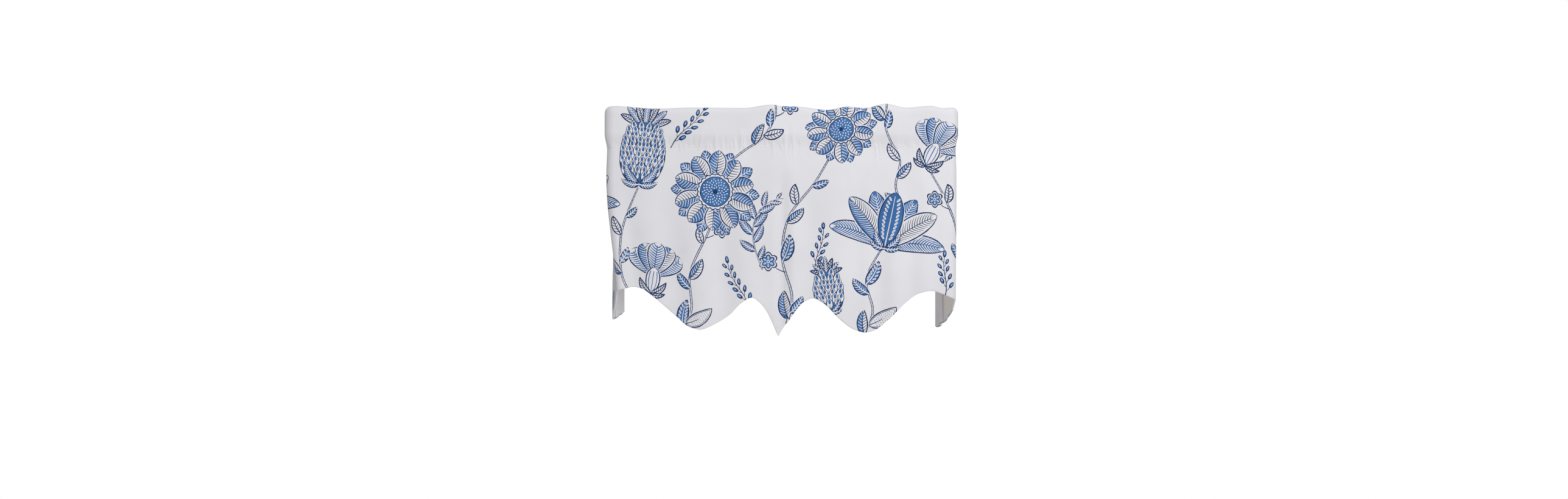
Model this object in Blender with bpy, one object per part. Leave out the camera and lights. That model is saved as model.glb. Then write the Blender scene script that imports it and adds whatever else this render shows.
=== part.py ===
"""A rod-pocket window valance, hanging: a printed cotton panel with a lining behind it.

Metres, +Z up. X runs along the front, from left to right as seen from the room, and +Y points to the wall.
The origin is the middle of the rod pocket's top edge, half way between the pocket's front and back.

The panel is one cloth. It runs round three sides in plan: the front, and a return to the wall at each end.
Its top is turned over to the back and sewn down, which makes the pocket. Each cloth is built on a grid:
its columns are threads that hang from the top, and its rows follow the cloth down to the scalloped hem.
"""

import math

import bpy

# Cloth
CLOTH = 0.0012  # thickness of the printed cotton
LINING = 0.0010  # thickness of the lining
GAP = 0.0003  # between the cotton and its lining

# Plan of the hanging cloth, along the middle of the pocket
HALF_FRONT = 0.3265  # from the middle of the front to the corner
RETURN = 0.152  # from the front to the wall, 6 in
RETURN_BEND = 0.084  # how far back each return has its second, slight bend
POCKET_CORNER = 0.014  # radius of the corner at the pocket
PANEL_CORNER = 0.008  # radius of the corner at the hem
BEND_RADIUS = 0.030  # radius of the second bend

# Where the corner, the second bend and the wall edge have moved to at the hem, in X from the middle
HEM_PLAN = {
    -1: {"corner": 0.3030, "bend": 0.3315, "wall": 0.3325},
    +1: {"corner": 0.3235, "bend": 0.326, "wall": 0.3245},
}
PLAN_SETTLES = (0.13, 0.37)  # drops between which the plan goes from the pocket's to the hem's

# Rod pocket
POCKET = 0.079  # from the top edge to the seam
POCKET_DEPTH = 0.018  # from its front layer to its back layer
SEAM_FRONT = 0.0044  # how far the front layer stands out at the seam
SEAM_BACK = 0.0020  # and the back layer, just above the seam
PINCHED = 0.36  # lower share of the pocket that draws in to the seam
ROUNDED = 0.15  # upper share of the pocket that rounds over the rod

# Panel
PANEL_FRONT = 0.0058  # how far the panel stands out below the seam
PANEL_SETTLES = 0.045  # drop below the seam over which it gets there
LINING_TOP = 0.006  # the lining starts this far below the seam
LINING_SHORT = 0.003  # and ends this far above the hem

# Hem: distance from the middle along the front and round the return, drop below the top edge
HEM_LEFT = (
    (0.0055, 0.4320),
    (0.0170, 0.4060),
    (0.0270, 0.3860),
    (0.0390, 0.3700),
    (0.0550, 0.3595),
    (0.0760, 0.3700),
    (0.0990, 0.3930),
    (0.1260, 0.4095),
    (0.1520, 0.4192),
    (0.1750, 0.4130),
    (0.1990, 0.3930),
    (0.2370, 0.3595),
    (0.2640, 0.3420),
    (0.2780, 0.3395),
    (0.2980, 0.3440),
    (0.3080, 0.3480),
    (0.3450, 0.3800),
    (0.3920, 0.4110),
    (0.4640, 0.4050),
)
HEM_RIGHT = (
    (-0.0055, 0.4320),
    (0.0050, 0.4130),
    (0.0155, 0.3995),
    (0.0300, 0.3800),
    (0.0420, 0.3680),
    (0.0600, 0.3610),
    (0.0800, 0.3710),
    (0.1120, 0.4020),
    (0.1390, 0.4205),
    (0.1570, 0.4252),
    (0.1740, 0.4215),
    (0.1970, 0.4040),
    (0.2310, 0.3710),
    (0.2590, 0.3515),
    (0.2810, 0.3470),
    (0.3020, 0.3530),
    (0.3220, 0.3640),
    (0.3300, 0.3740),
    (0.3900, 0.4110),
    (0.4180, 0.4250),
    (0.4790, 0.4390),
)

# The top edge lies unevenly over the rod: place along the run, rise
TOP_EDGE = (
    (-0.475, 0.000),
    (-0.315, 0.000),
    (-0.235, -0.005),
    (-0.170, -0.003),
    (-0.070, -0.0035),
    (-0.018, 0.0025),
    (0.000, 0.000),
    (0.040, -0.002),
    (0.086, -0.0075),
    (0.124, -0.0015),
    (0.157, -0.004),
    (0.196, 0.004),
    (0.235, -0.003),
    (0.280, 0.0005),
    (0.305, -0.004),
    (0.335, -0.001),
    (0.475, 0.000),
)

# Folds of the panel: place at the seam, place at the hem, half width, height out of the panel (a hollow is
# below nothing), drop at which the fold starts and drop at which it is full
FOLDS = (
    (-0.435, -0.445, 0.022, 0.0024, 0.10, 0.36),
    (-0.385, -0.390, 0.022, 0.0016, 0.12, 0.36),
    (-0.292, -0.286, 0.016, -0.0022, 0.08, 0.24),
    (-0.255, -0.247, 0.022, 0.0026, 0.08, 0.30),
    (-0.212, -0.205, 0.022, -0.0022, 0.09, 0.32),
    (-0.165, -0.158, 0.026, 0.0032, 0.08, 0.34),
    (-0.118, -0.110, 0.020, -0.0022, 0.09, 0.32),
    (-0.078, -0.068, 0.022, 0.0026, 0.08, 0.28),
    (-0.036, -0.030, 0.018, -0.0014, 0.10, 0.30),
    (0.001, 0.002, 0.012, -0.0034, 0.08, 0.20),
    (0.021, 0.020, 0.013, 0.0030, 0.08, 0.24),
    (0.052, 0.056, 0.018, -0.0024, 0.10, 0.28),
    (0.098, 0.104, 0.026, 0.0032, 0.08, 0.30),
    (0.146, 0.140, 0.014, -0.0020, 0.09, 0.18),
    (0.176, 0.182, 0.017, -0.0030, 0.10, 0.26),
    (0.207, 0.212, 0.018, 0.0028, 0.08, 0.26),
    (0.236, 0.240, 0.016, -0.0024, 0.09, 0.22),
    (0.272, 0.268, 0.018, 0.0018, 0.08, 0.26),
    (0.302, 0.304, 0.014, 0.0020, 0.09, 0.28),
    (0.362, 0.360, 0.018, 0.0022, 0.10, 0.34),
    (0.414, 0.420, 0.011, -0.0052, 0.10, 0.32),
    (0.446, 0.450, 0.018, 0.0028, 0.12, 0.36),
)

# The pocket's front swells and flattens a little along the rod: place, half width, height
POCKET_SWELLS = (
    (-0.250, 0.030, -0.0016),
    (-0.180, 0.040, 0.0012),
    (-0.090, 0.036, -0.0014),
    (-0.018, 0.024, 0.0016),
    (0.086, 0.028, -0.0018),
    (0.150, 0.026, 0.0008),
    (0.196, 0.020, 0.0016),
    (0.260, 0.030, -0.0012),
)

# Grid
FINE_STEP = 0.0055  # finer columns near the middle of the front, one of them on the hem's sharp tip
FINE_COLUMNS = 12
FRONT_COLUMNS = 21
CORNER_COLUMNS = 5
SIDE_COLUMNS = 4
BEND_COLUMNS = 2
BACK_COLUMNS = 5
PANEL_ROWS = 11
# Heights of the pocket's rungs, as shares of it, up the front, over the top and down the back
POCKET_RUNGS = (0.05, 0.13, 0.23, 0.36, 0.60, 0.85, 0.95, 1.0)

COTTON = {"colour": (0.80, 0.81, 0.85), "roughness": 0.85}
LINING_COTTON = {"colour": (0.68, 0.64, 0.57), "roughness": 0.9}


def clamp(value):
    return min(max(value, 0.0), 1.0)


def ease(value):
    """0 to 1 without a corner at either end."""
    value = clamp(value)
    return value * value * (3 - 2 * value)


def mix(first, second, share):
    return first + (second - first) * share


def curve_through(points, place):
    """Height at this place of a smooth curve that keeps each point and adds no peak between two of them."""
    if place <= points[0][0]:
        return points[0][1]
    if place >= points[-1][0]:
        return points[-1][1]
    slopes = [(b[1] - a[1]) / (b[0] - a[0]) for a, b in zip(points, points[1:])]

    def slope_at(index):
        if index in (0, len(slopes)):
            return slopes[min(index, len(slopes) - 1)]
        before, after = slopes[index - 1], slopes[index]
        return 2 * before * after / (before + after) if before * after > 0 else 0.0

    index = next(i for i in range(len(slopes)) if place <= points[i + 1][0])
    (left, low), (right, high) = points[index], points[index + 1]
    width = right - left
    t = (place - left) / width
    return (
        (1 + 2 * t) * (1 - t) ** 2 * low
        + t * (1 - t) ** 2 * width * slope_at(index)
        + t * t * (3 - 2 * t) * high
        + t * t * (t - 1) * width * slope_at(index + 1)
    )


def bump(distance, half_width):
    return math.exp(-((distance / half_width) ** 2))


def plan_pieces(side, drop):
    """The (length, turn) pieces of the plan, from the middle of the front to the wall, at this drop."""
    share = ease((drop - PLAN_SETTLES[0]) / (PLAN_SETTLES[1] - PLAN_SETTLES[0]))
    corner = mix(HALF_FRONT, HEM_PLAN[side]["corner"], share)
    bend = mix(HALF_FRONT, HEM_PLAN[side]["bend"], share)
    wall = mix(HALF_FRONT, HEM_PLAN[side]["wall"], share)
    below_pocket = ease((drop - POCKET) / (PLAN_SETTLES[1] - POCKET))
    radius = mix(POCKET_CORNER, PANEL_CORNER, below_pocket)
    side_heading = math.atan2(RETURN_BEND, bend - corner)
    back_heading = math.atan2(RETURN - RETURN_BEND, wall - bend)
    second_turn = back_heading - side_heading
    corner_cut = radius * math.tan(side_heading / 2)
    bend_cut = BEND_RADIUS * math.tan(second_turn / 2)
    side_length = math.hypot(RETURN_BEND, bend - corner)
    back_length = math.hypot(RETURN - RETURN_BEND, wall - bend)
    return (
        (FINE_COLUMNS * FINE_STEP, 0.0),
        (corner - corner_cut - FINE_COLUMNS * FINE_STEP, 0.0),
        (radius * side_heading, side_heading),
        (side_length - corner_cut - bend_cut, 0.0),
        (BEND_RADIUS * abs(second_turn) + 1e-6, second_turn),
        (back_length - bend_cut, 0.0),
    )


def plan_point(column, drop):
    """Place in plan, outward normal, and distance from the middle along the cloth, of a column at this drop."""
    side, piece_index, share = column
    x = y = heading = distance = 0.0
    for index, (length, turn) in enumerate(plan_pieces(side, drop)[: piece_index + 1]):
        step = length * share if index == piece_index else length
        turned = turn * step / length
        chord = step * (math.sin(turned / 2) / (turned / 2) if turned else 1.0)
        x += chord * math.cos(heading + turned / 2)
        y += chord * math.sin(heading + turned / 2)
        heading += turned
        distance += step
    outward = (side * math.sin(heading), -math.cos(heading))
    return (side * x, y), outward, side * distance


def columns_of_the_cloth():
    """Each column as (side, piece of the plan, share of that piece), from the left wall to the right one."""
    counts = (FINE_COLUMNS, FRONT_COLUMNS, CORNER_COLUMNS, SIDE_COLUMNS, BEND_COLUMNS, BACK_COLUMNS)
    steps = [(piece, (i + 1) / count) for piece, count in enumerate(counts) for i in range(count)]
    left = [(-1, piece, share) for piece, share in reversed(steps)]
    right = [(+1, piece, share) for piece, share in steps]
    return left + [(+1, 0, 0.0)] + right


def hem_drop(column):
    """The drop of the hem at this column, where the hem's distances are those of the cloth at its own drop."""
    drop = 0.38
    for _ in range(6):
        distance = plan_point(column, drop)[2]
        table = HEM_LEFT if distance < -HEM_LEFT[0][0] else HEM_RIGHT
        drop = curve_through(table, abs(distance) if table is HEM_LEFT else distance)
    return drop


def top_rise(run, drop):
    """How far the uneven top edge lifts the pocket, fading to nothing at the seam."""
    return curve_through(TOP_EDGE, run) * (1 - ease(drop / POCKET))


def fold_height(run, drop):
    """How far the folds bring the panel out at this place."""
    height = 0.0
    for at_seam, at_hem, half_width, fold, starts, full in FOLDS:
        place = mix(at_seam, at_hem, clamp((drop - POCKET) / 0.30))
        height += fold * ease((drop - starts) / (full - starts)) * bump(run - place, half_width)
    return height


def panel_stand(run, drop):
    """How far the panel's middle surface stands out from the middle of the pocket."""
    settled = ease((drop - POCKET) / PANEL_SETTLES)
    return mix(SEAM_FRONT, PANEL_FRONT, settled) + fold_height(run, drop)


def place_on(column, drop, stand):
    (x, y), (out_x, out_y), _ = plan_point(column, drop)
    run = plan_point(column, 0.0)[2]
    return (x + stand * out_x, y + stand * out_y, top_rise(run, drop) - drop)


def panel_rows(column, front, back):
    """Points up one column of the panel, hem to seam: (front, back) pairs at these stands from its middle."""
    run = plan_point(column, 0.0)[2]
    hem = hem_drop(column)
    pairs = []
    for row in range(PANEL_ROWS + 1):
        drop = mix(hem, POCKET, row / PANEL_ROWS)
        stand = panel_stand(run, drop)
        pairs.append((place_on(column, drop, stand + front), place_on(column, drop, stand + back)))
    return pairs


def shortened(end, after, length):
    """The pair this far down from the end pair towards the one after it, or up where that one is higher."""
    share = length / abs(end[0][2] - after[0][2])
    return tuple(tuple(mix(a, b, share) for a, b in zip(*points)) for points in zip(end, after))


def pocket_rungs(column):
    """Points round the pocket at one column: (outer, inner) pairs, up its front, over the rod and down."""
    run = plan_point(column, 0.0)[2]
    swell = sum(height * bump(run - place, half) for place, half, height in POCKET_SWELLS)
    half_depth = POCKET_DEPTH / 2
    path = [(share, +1) for share in POCKET_RUNGS] + [(share, -1) for share in reversed(POCKET_RUNGS[:-1])]
    middle = []
    for share, face in path:
        seam = SEAM_FRONT if face > 0 else SEAM_BACK
        drawn_in = ease(share / PINCHED)
        over = clamp((share - (1 - ROUNDED)) / ROUNDED)
        full = face * half_depth + (swell if face > 0 else 0.0)
        stand = mix(seam, full, drawn_in) * math.sqrt(1 - over * over)
        middle.append((stand, POCKET * (1 - share)))
    pairs = []
    for index, (stand, drop) in enumerate(middle):
        before, after = middle[max(index - 1, 0)], middle[min(index + 1, len(middle) - 1)]
        along = (after[0] - before[0], before[1] - after[1])
        length = math.hypot(*along)
        out = (along[1] / length * CLOTH / 2, -along[0] / length * CLOTH / 2)
        pairs.append(
            (
                place_on(column, drop - out[1], stand + out[0]),
                place_on(column, drop + out[1], stand - out[0]),
            )
        )
    return pairs


def solid(name, points, faces, look):
    mesh = bpy.data.meshes.new(name)
    mesh.from_pydata(points, [], faces)
    mesh.validate()
    obj = bpy.data.objects.new(name, mesh)
    bpy.context.scene.collection.objects.link(obj)
    material = bpy.data.materials.new(name)
    material.use_nodes = True
    shader = material.node_tree.nodes["Principled BSDF"]
    shader.inputs["Base Color"].default_value = (*look["colour"], 1.0)
    shader.inputs["Roughness"].default_value = look["roughness"]
    shader.inputs["Metallic"].default_value = 0.0
    mesh.materials.append(material)
    mesh.shade_smooth()
    mesh.set_sharp_from_angle(angle=math.radians(50))
    return obj


def ring_faces(rings, length, rising):
    """Triangles between each closed ring of points and the next. The first points of a ring rise and the others
    go down again, and every diagonal climbs to the right, so that layers that lie together never cross."""
    faces = []
    for ring in range(rings - 1):
        start, after = ring * length, (ring + 1) * length
        for i in range(length):
            j = (i + 1) % length
            if i < rising:
                faces += [(start + i, after + i, after + j), (start + i, after + j, start + j)]
            else:
                faces += [(start + i, after + i, start + j), (after + i, after + j, start + j)]
    return faces


def make_printed_cloth(columns):
    """The panel with its pocket. At each column its section is an outer ring, the front up, over and down the
    back to the hem again, and an inner ring, the hollow of the pocket."""
    outer, inner = [], []
    for column in columns:
        panel = panel_rows(column, CLOTH / 2, -CLOTH / 2)
        pocket = pocket_rungs(column)
        outer += [front for front, _ in panel] + [out for out, _ in pocket]
        outer += [back for _, back in reversed(panel)]
        inner += [within for _, within in pocket]
    rows, rungs = PANEL_ROWS + 1, len(pocket_rungs(columns[0]))
    outer_length = 2 * rows + rungs
    offset = len(outer)
    faces = ring_faces(len(columns), outer_length, rows + rungs // 2)
    hollow = ring_faces(len(columns), rungs, rungs // 2)
    faces += [tuple(offset + i for i in reversed(face)) for face in hollow]

    def end_faces(ring):
        """The cut section at one end: the panel, the way round the pocket, and the seam that closes it."""
        first, within = ring * outer_length, offset + ring * rungs

        def front(i):
            return first + i

        def back(i):
            return first + outer_length - 1 - i if i < rows else within + i - rows

        quads = [(front(i), front(i + 1), back(i + 1), back(i)) for i in range(rows + rungs - 1)]
        quads.append((front(rows + rungs - 1), back(rows - 1), back(rows), back(rows + rungs - 1)))
        return quads

    faces += end_faces(0)
    faces += [tuple(reversed(face)) for face in end_faces(len(columns) - 1)]
    return solid("printed_cloth", outer + inner, faces, COTTON)


def make_lining(columns):
    """A plain sheet just behind the panel, from under the seam to just above the hem."""
    front = -CLOTH / 2 - GAP
    points = []
    for column in columns:
        pairs = panel_rows(column, front, front - LINING)
        pairs[0] = shortened(pairs[0], pairs[1], LINING_SHORT)
        pairs[-1] = shortened(pairs[-1], pairs[-2], LINING_TOP)
        points += [near for near, _ in pairs] + [far for _, far in reversed(pairs)]
    rows = PANEL_ROWS + 1
    faces = ring_faces(len(columns), 2 * rows, rows)
    last = (len(columns) - 1) * 2 * rows
    for row in range(PANEL_ROWS):
        quad = (row, row + 1, 2 * rows - 2 - row, 2 * rows - 1 - row)
        faces.append(quad)
        faces.append(tuple(last + i for i in reversed(quad)))
    return solid("lining", points, faces, LINING_COTTON)


def main():
    for obj in list(bpy.data.objects):
        bpy.data.objects.remove(obj, do_unlink=True)
    columns = columns_of_the_cloth()
    make_printed_cloth(columns)
    make_lining(columns)


main()
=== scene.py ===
"""The looks of a lined rod-pocket valance: its printed cotton, its lining and its sewing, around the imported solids.

Metres and +Z up, unless a name says otherwise. X runs along the front and +Y points to the wall; the origin is the
middle of the pocket's top edge. A place on the cloth is (run, down): run goes along the cloth from the middle of
the front, and down goes over the rod and down the front, so the pocket's back has a down below zero.
"""

import math

import bpy
import numpy as np
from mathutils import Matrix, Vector
from mathutils.geometry import delaunay_2d_cdt
from mathutils.kdtree import KDTree


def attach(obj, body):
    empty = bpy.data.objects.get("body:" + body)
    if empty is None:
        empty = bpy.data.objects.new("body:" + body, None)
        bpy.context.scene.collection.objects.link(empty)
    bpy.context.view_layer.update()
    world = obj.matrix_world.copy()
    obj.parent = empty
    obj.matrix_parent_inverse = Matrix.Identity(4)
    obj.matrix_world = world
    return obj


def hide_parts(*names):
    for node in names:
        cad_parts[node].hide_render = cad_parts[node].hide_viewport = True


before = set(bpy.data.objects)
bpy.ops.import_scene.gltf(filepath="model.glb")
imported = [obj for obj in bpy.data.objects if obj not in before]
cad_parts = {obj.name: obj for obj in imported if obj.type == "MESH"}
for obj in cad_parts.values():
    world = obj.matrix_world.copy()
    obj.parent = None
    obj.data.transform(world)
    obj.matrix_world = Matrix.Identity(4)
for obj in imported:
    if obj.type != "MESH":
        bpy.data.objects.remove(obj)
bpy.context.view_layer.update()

# ---------------------------------------------------------------- sizes of the solids
# They are as the part has them, but that the left return's bend stands 3.5 mm further out at the hem, and the right
# return's hem hangs up to 3.5 mm higher.

CLOTH = 0.0012  # thickness of the printed cotton
LINING = 0.0010  # and of the lining
GAP = 0.0003  # between the cotton and its lining
HALF_FRONT = 0.3265
RETURN = 0.152  # depth of a return
RETURN_BEND = 0.084  # how far back its second bend is
POCKET_CORNER = 0.014  # radius of the front corners at the pocket
PANEL_CORNER = 0.008  # and at the hem
BEND_RADIUS = 0.030  # of the second bend
HEM_PLAN = {  # X of the corner, the second bend and the wall edge at the hem
    -1: {"corner": 0.3030, "bend": 0.3350, "wall": 0.3325},
    +1: {"corner": 0.3235, "bend": 0.3260, "wall": 0.3245},
}
PLAN_SETTLES = (0.13, 0.37)  # drops between which the plan goes from the pocket's to the hem's
FIXED_FRONT = 0.066  # length of the middle of the front, each side, that keeps its width at every drop
POCKET = 0.079  # from the top edge to the stitching
POCKET_DEPTH = 0.018
SEAM_FRONT = 0.0044  # how far in front of the plan the pocket's front is at the stitching
SEAM_BACK = 0.0016  # and its back
PINCHED = 0.36  # share of the pocket, from the stitching up, over which it opens
ROUNDED = 0.15  # and share of it that its round top takes
PANEL_FRONT = 0.0058  # how far in front of the plan the panel hangs
PANEL_SETTLES = 0.045  # and how far below the stitching it gets there

# Hem: distance from the middle along the front and round the return, drop below the top edge
HEM_LEFT = (
    (0.0055, 0.4320), (0.0170, 0.4060), (0.0270, 0.3860), (0.0390, 0.3700), (0.0550, 0.3595),
    (0.0760, 0.3700), (0.0990, 0.3930), (0.1260, 0.4095), (0.1520, 0.4192), (0.1750, 0.4130),
    (0.1990, 0.3930), (0.2370, 0.3595), (0.2640, 0.3420), (0.2780, 0.3395), (0.2980, 0.3440),
    (0.3080, 0.3480), (0.3450, 0.3800), (0.3920, 0.4110), (0.4640, 0.4050),
)
HEM_RIGHT = (
    (-0.0055, 0.4320), (0.0050, 0.4130), (0.0155, 0.3995), (0.0300, 0.3800), (0.0420, 0.3680),
    (0.0600, 0.3610), (0.0800, 0.3710), (0.1120, 0.4020), (0.1390, 0.4205), (0.1570, 0.4252),
    (0.1740, 0.4215), (0.1970, 0.4040), (0.2310, 0.3710), (0.2590, 0.3515), (0.2810, 0.3470),
    (0.3020, 0.3530), (0.3220, 0.3625), (0.3300, 0.3705), (0.3900, 0.4090), (0.4180, 0.4215),
    (0.4790, 0.4380),
)
HEM_TIP = -0.0055  # run of the sharp point of the hem
FIRST_DROP = 0.38  # from which the search for the hem's drop starts

# The top edge over the rod: run, rise
TOP_EDGE = (
    (-0.475, 0.000), (-0.315, 0.000), (-0.235, -0.005), (-0.170, -0.003), (-0.070, -0.0035),
    (-0.018, 0.0025), (0.000, 0.000), (0.040, -0.002), (0.086, -0.0075), (0.124, -0.0015),
    (0.157, -0.004), (0.196, 0.004), (0.235, -0.003), (0.280, 0.0005), (0.305, -0.004),
    (0.335, -0.001), (0.475, 0.000),
)

# Folds of the panel: run at the seam, run at the hem, half width, height, drop at which it starts and is full
FOLDS = (
    (-0.435, -0.445, 0.022, 0.0024, 0.10, 0.36), (-0.385, -0.390, 0.022, 0.0016, 0.12, 0.36),
    (-0.292, -0.286, 0.016, -0.0022, 0.08, 0.24), (-0.255, -0.247, 0.022, 0.0026, 0.08, 0.30),
    (-0.212, -0.205, 0.022, -0.0022, 0.09, 0.32), (-0.165, -0.158, 0.026, 0.0032, 0.08, 0.34),
    (-0.118, -0.110, 0.020, -0.0022, 0.09, 0.32), (-0.078, -0.068, 0.022, 0.0026, 0.08, 0.28),
    (-0.036, -0.030, 0.018, -0.0014, 0.10, 0.30), (0.001, 0.002, 0.012, -0.0034, 0.08, 0.20),
    (0.021, 0.020, 0.013, 0.0030, 0.08, 0.24), (0.052, 0.056, 0.018, -0.0024, 0.10, 0.28),
    (0.098, 0.104, 0.026, 0.0032, 0.08, 0.30), (0.146, 0.140, 0.014, -0.0020, 0.09, 0.18),
    (0.176, 0.182, 0.017, -0.0030, 0.10, 0.26), (0.207, 0.212, 0.018, 0.0028, 0.08, 0.26),
    (0.236, 0.240, 0.016, -0.0024, 0.09, 0.22), (0.272, 0.268, 0.018, 0.0018, 0.08, 0.26),
    (0.302, 0.304, 0.014, 0.0020, 0.09, 0.28), (0.362, 0.360, 0.018, 0.0022, 0.10, 0.34),
    (0.414, 0.420, 0.011, -0.0052, 0.10, 0.32), (0.446, 0.450, 0.018, 0.0028, 0.12, 0.36),
)
FOLDS_MOVE = 0.30  # stretch below the stitching over which a fold gets to its run at the hem

# Swells of the pocket's front: run, half width, height
POCKET_SWELLS = (
    (-0.250, 0.030, -0.0016), (-0.180, 0.040, 0.0012), (-0.090, 0.036, -0.0014), (-0.018, 0.024, 0.0016),
    (0.086, 0.028, -0.0018), (0.150, 0.026, 0.0008), (0.196, 0.020, 0.0016), (0.260, 0.030, -0.0012),
)

# ---------------------------------------------------------------- what sewing and hanging add

TURN_RADIUS = (CLOTH + LINING) / 2 + GAP  # of the cloth where it turns over the lining at an edge
SIDE_HEM = 0.063  # width of the hem turned back at each wall edge
HEM_TURN = math.radians(118)  # how far round the lining's lower edge the cotton is rolled
HEM_TURN_FADES = 0.010  # stretch before a wall edge over which that turn runs out
HEM_TURN_ENDS = 0.001  # and how far before the edge it has done so
SIDE_HEM_RISE = 0.0012  # how much higher a side hem ends than the cloth before it
SEAM_GROOVE = 0.0002  # how deep the stitching sinks into the cloth
SEAM_GROOVE_HALF_WIDTH = 0.0016
HEM_ROLL = 0.0018  # how far above the hem's lowest line that turn starts
LINING_TUCK = 0.0022  # the lining reaches this far up behind the pocket's stitching
LINING_SLACK = 0.0012  # how far it hangs off the cotton, but for the side hems, the stitching and the hem
SLACK_STARTS = 0.05  # stretch below the stitching and above the hem over which it comes to that
SLACK_ASIDE = 0.06  # and beside a side hem
LINING_PUCKERS = 0.6  # share of the cotton's puckers that it follows
LINING_EDGE = 0.0011  # how far its edges stay inside the turns

# Puckers that the pocket's stitching draws into the cloth
PUCKER_SEED = 7
PUCKER_PITCH = 0.0062
PUCKER_HEIGHT = 0.00060
PUCKER_REACH = 0.072  # of the longest of them, up the pocket
SHORTEST_PUCKER = 0.010
HOLLOW_ENDS = 0.008  # stretch above the stitching over which a hollow ends
PUCKERS_BELOW, PUCKERS_ABOVE = 0.8, 1.5  # shares of a pucker's height on either side of the stitching
PUCKER_STRENGTH = (  # at a run
    (-0.480, 0.6), (-0.330, 0.6), (-0.240, 0.7), (-0.150, 1.0), (-0.070, 1.2), (0.030, 1.2), (0.100, 1.1),
    (0.150, 1.5), (0.210, 1.6), (0.260, 1.0), (0.330, 0.8), (0.480, 0.6),
)
# Drag lines: start and end (run, drop), bow to the right, half width, height
DRAG_LINES = (
    (-0.178, 0.262, -0.262, 0.312, 0.006, 0.0070, -0.0018),
    (-0.190, 0.286, -0.250, 0.330, 0.004, 0.010, 0.0008),
    (0.214, 0.215, 0.262, 0.300, -0.004, 0.012, -0.0007),
    (0.118, 0.115, 0.128, 0.215, 0.002, 0.006, -0.0006),
    (-0.062, 0.110, -0.050, 0.205, 0.002, 0.007, -0.0006),
    (0.262, 0.112, 0.276, 0.190, -0.002, 0.007, 0.0006),
)


def eased(value):
    """0 to 1 without a corner at either end."""
    value = np.clip(value, 0.0, 1.0)
    return value * value * (3 - 2 * value)


def mix(first, second, share):
    return first + (second - first) * share


def bump(distance, half_width):
    return np.exp(-((distance / half_width) ** 2))


def curve_through(table, places):
    """Heights at these places of a smooth curve that keeps each point and adds no peak between two of them."""
    at, height = np.array(table, float).T
    slopes = np.diff(height) / np.diff(at)
    before, after = slopes[:-1], slopes[1:]
    together = before * after > 0
    inner = np.where(together, 2 * before * after / np.where(together, before + after, 1.0), 0.0)
    slope = np.concatenate([slopes[:1], inner, slopes[-1:]])
    places = np.clip(places, at[0], at[-1])
    left = np.clip(np.searchsorted(at, places, side="right") - 1, 0, len(at) - 2)
    width = at[left + 1] - at[left]
    t = (places - at[left]) / width
    return (
        (1 + 2 * t) * (1 - t) ** 2 * height[left]
        + t * (1 - t) ** 2 * width * slope[left]
        + t * t * (3 - 2 * t) * height[left + 1]
        + t * t * (t - 1) * width * slope[left + 1]
    )


# ---------------------------------------------------------------- the hanging cloth


def plan_pieces(side, drop):
    """Lengths and turns of the plan's pieces, from the middle of the front to the wall, a row for each place."""
    settled = eased((drop - PLAN_SETTLES[0]) / (PLAN_SETTLES[1] - PLAN_SETTLES[0]))

    def moved(name):
        at_hem = np.where(side < 0, HEM_PLAN[-1][name], HEM_PLAN[+1][name])
        return mix(HALF_FRONT, at_hem, settled)

    corner, bend, wall = moved("corner"), moved("bend"), moved("wall")
    below_pocket = eased((drop - POCKET) / (PLAN_SETTLES[1] - POCKET))
    radius = mix(POCKET_CORNER, PANEL_CORNER, below_pocket)
    side_heading = np.arctan2(RETURN_BEND, bend - corner)
    second_turn = np.arctan2(RETURN - RETURN_BEND, wall - bend) - side_heading
    corner_cut = radius * np.tan(side_heading / 2)
    bend_cut = BEND_RADIUS * np.tan(second_turn / 2)
    straight = np.zeros_like(corner)
    lengths = (
        straight + FIXED_FRONT,
        corner - corner_cut - FIXED_FRONT,
        radius * side_heading,
        np.hypot(RETURN_BEND, bend - corner) - corner_cut - bend_cut,
        BEND_RADIUS * np.abs(second_turn) + 1e-6,
        np.hypot(RETURN - RETURN_BEND, wall - bend) - bend_cut,
    )
    turns = (straight, straight, side_heading, straight, second_turn, straight)
    return np.stack(lengths, axis=-1), np.stack(turns, axis=-1)


WALL_RUN = float(plan_pieces(np.array([1.0]), np.array([0.0]))[0].sum())  # run of the wall edges
CLOTH_END = WALL_RUN + np.pi * TURN_RADIUS + SIDE_HEM  # and of the cloth's cut ends


def plan(run, drop):
    """The sides of these runs, and their x, y, heading and distance along the cloth on the right side's plan."""
    side = np.where(run < 0, -1.0, 1.0)
    at_top = plan_pieces(side, np.zeros_like(run))[0]
    ends = np.cumsum(at_top, axis=1)
    reach = np.minimum(np.abs(run), WALL_RUN - 1e-9)
    piece = np.minimum((reach[:, None] >= ends).sum(axis=1), ends.shape[1] - 1)
    rows = np.arange(len(run))
    share = (reach - (ends - at_top)[rows, piece]) / at_top[rows, piece]
    lengths, turns = plan_pieces(side, drop)
    x, y, heading, distance = (np.zeros(len(run)) for _ in range(4))
    for index in range(ends.shape[1]):
        part = np.where(piece > index, 1.0, np.where(piece == index, share, 0.0))
        step, half_turn = lengths[:, index] * part, turns[:, index] * part / 2
        chord = step * np.sinc(half_turn / np.pi)
        x += chord * np.cos(heading + half_turn)
        y += chord * np.sin(heading + half_turn)
        heading += 2 * half_turn
        distance += step
    return side, x, y, heading, distance


def hem_drop_exactly(run):
    """The drop of the hem at these runs."""
    drop = np.full(len(run), FIRST_DROP)  # the plan itself depends on the drop, so it is found in rounds
    for _ in range(6):
        side, _, _, _, distance = plan(run, drop)
        distance = side * distance
        left, right = curve_through(HEM_LEFT, np.abs(distance)), curve_through(HEM_RIGHT, distance)
        drop = np.where(distance < HEM_TIP, left, right)
    return drop


# ---------------------------------------------------------------- the printed design, drawn flat in millimetres

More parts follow.
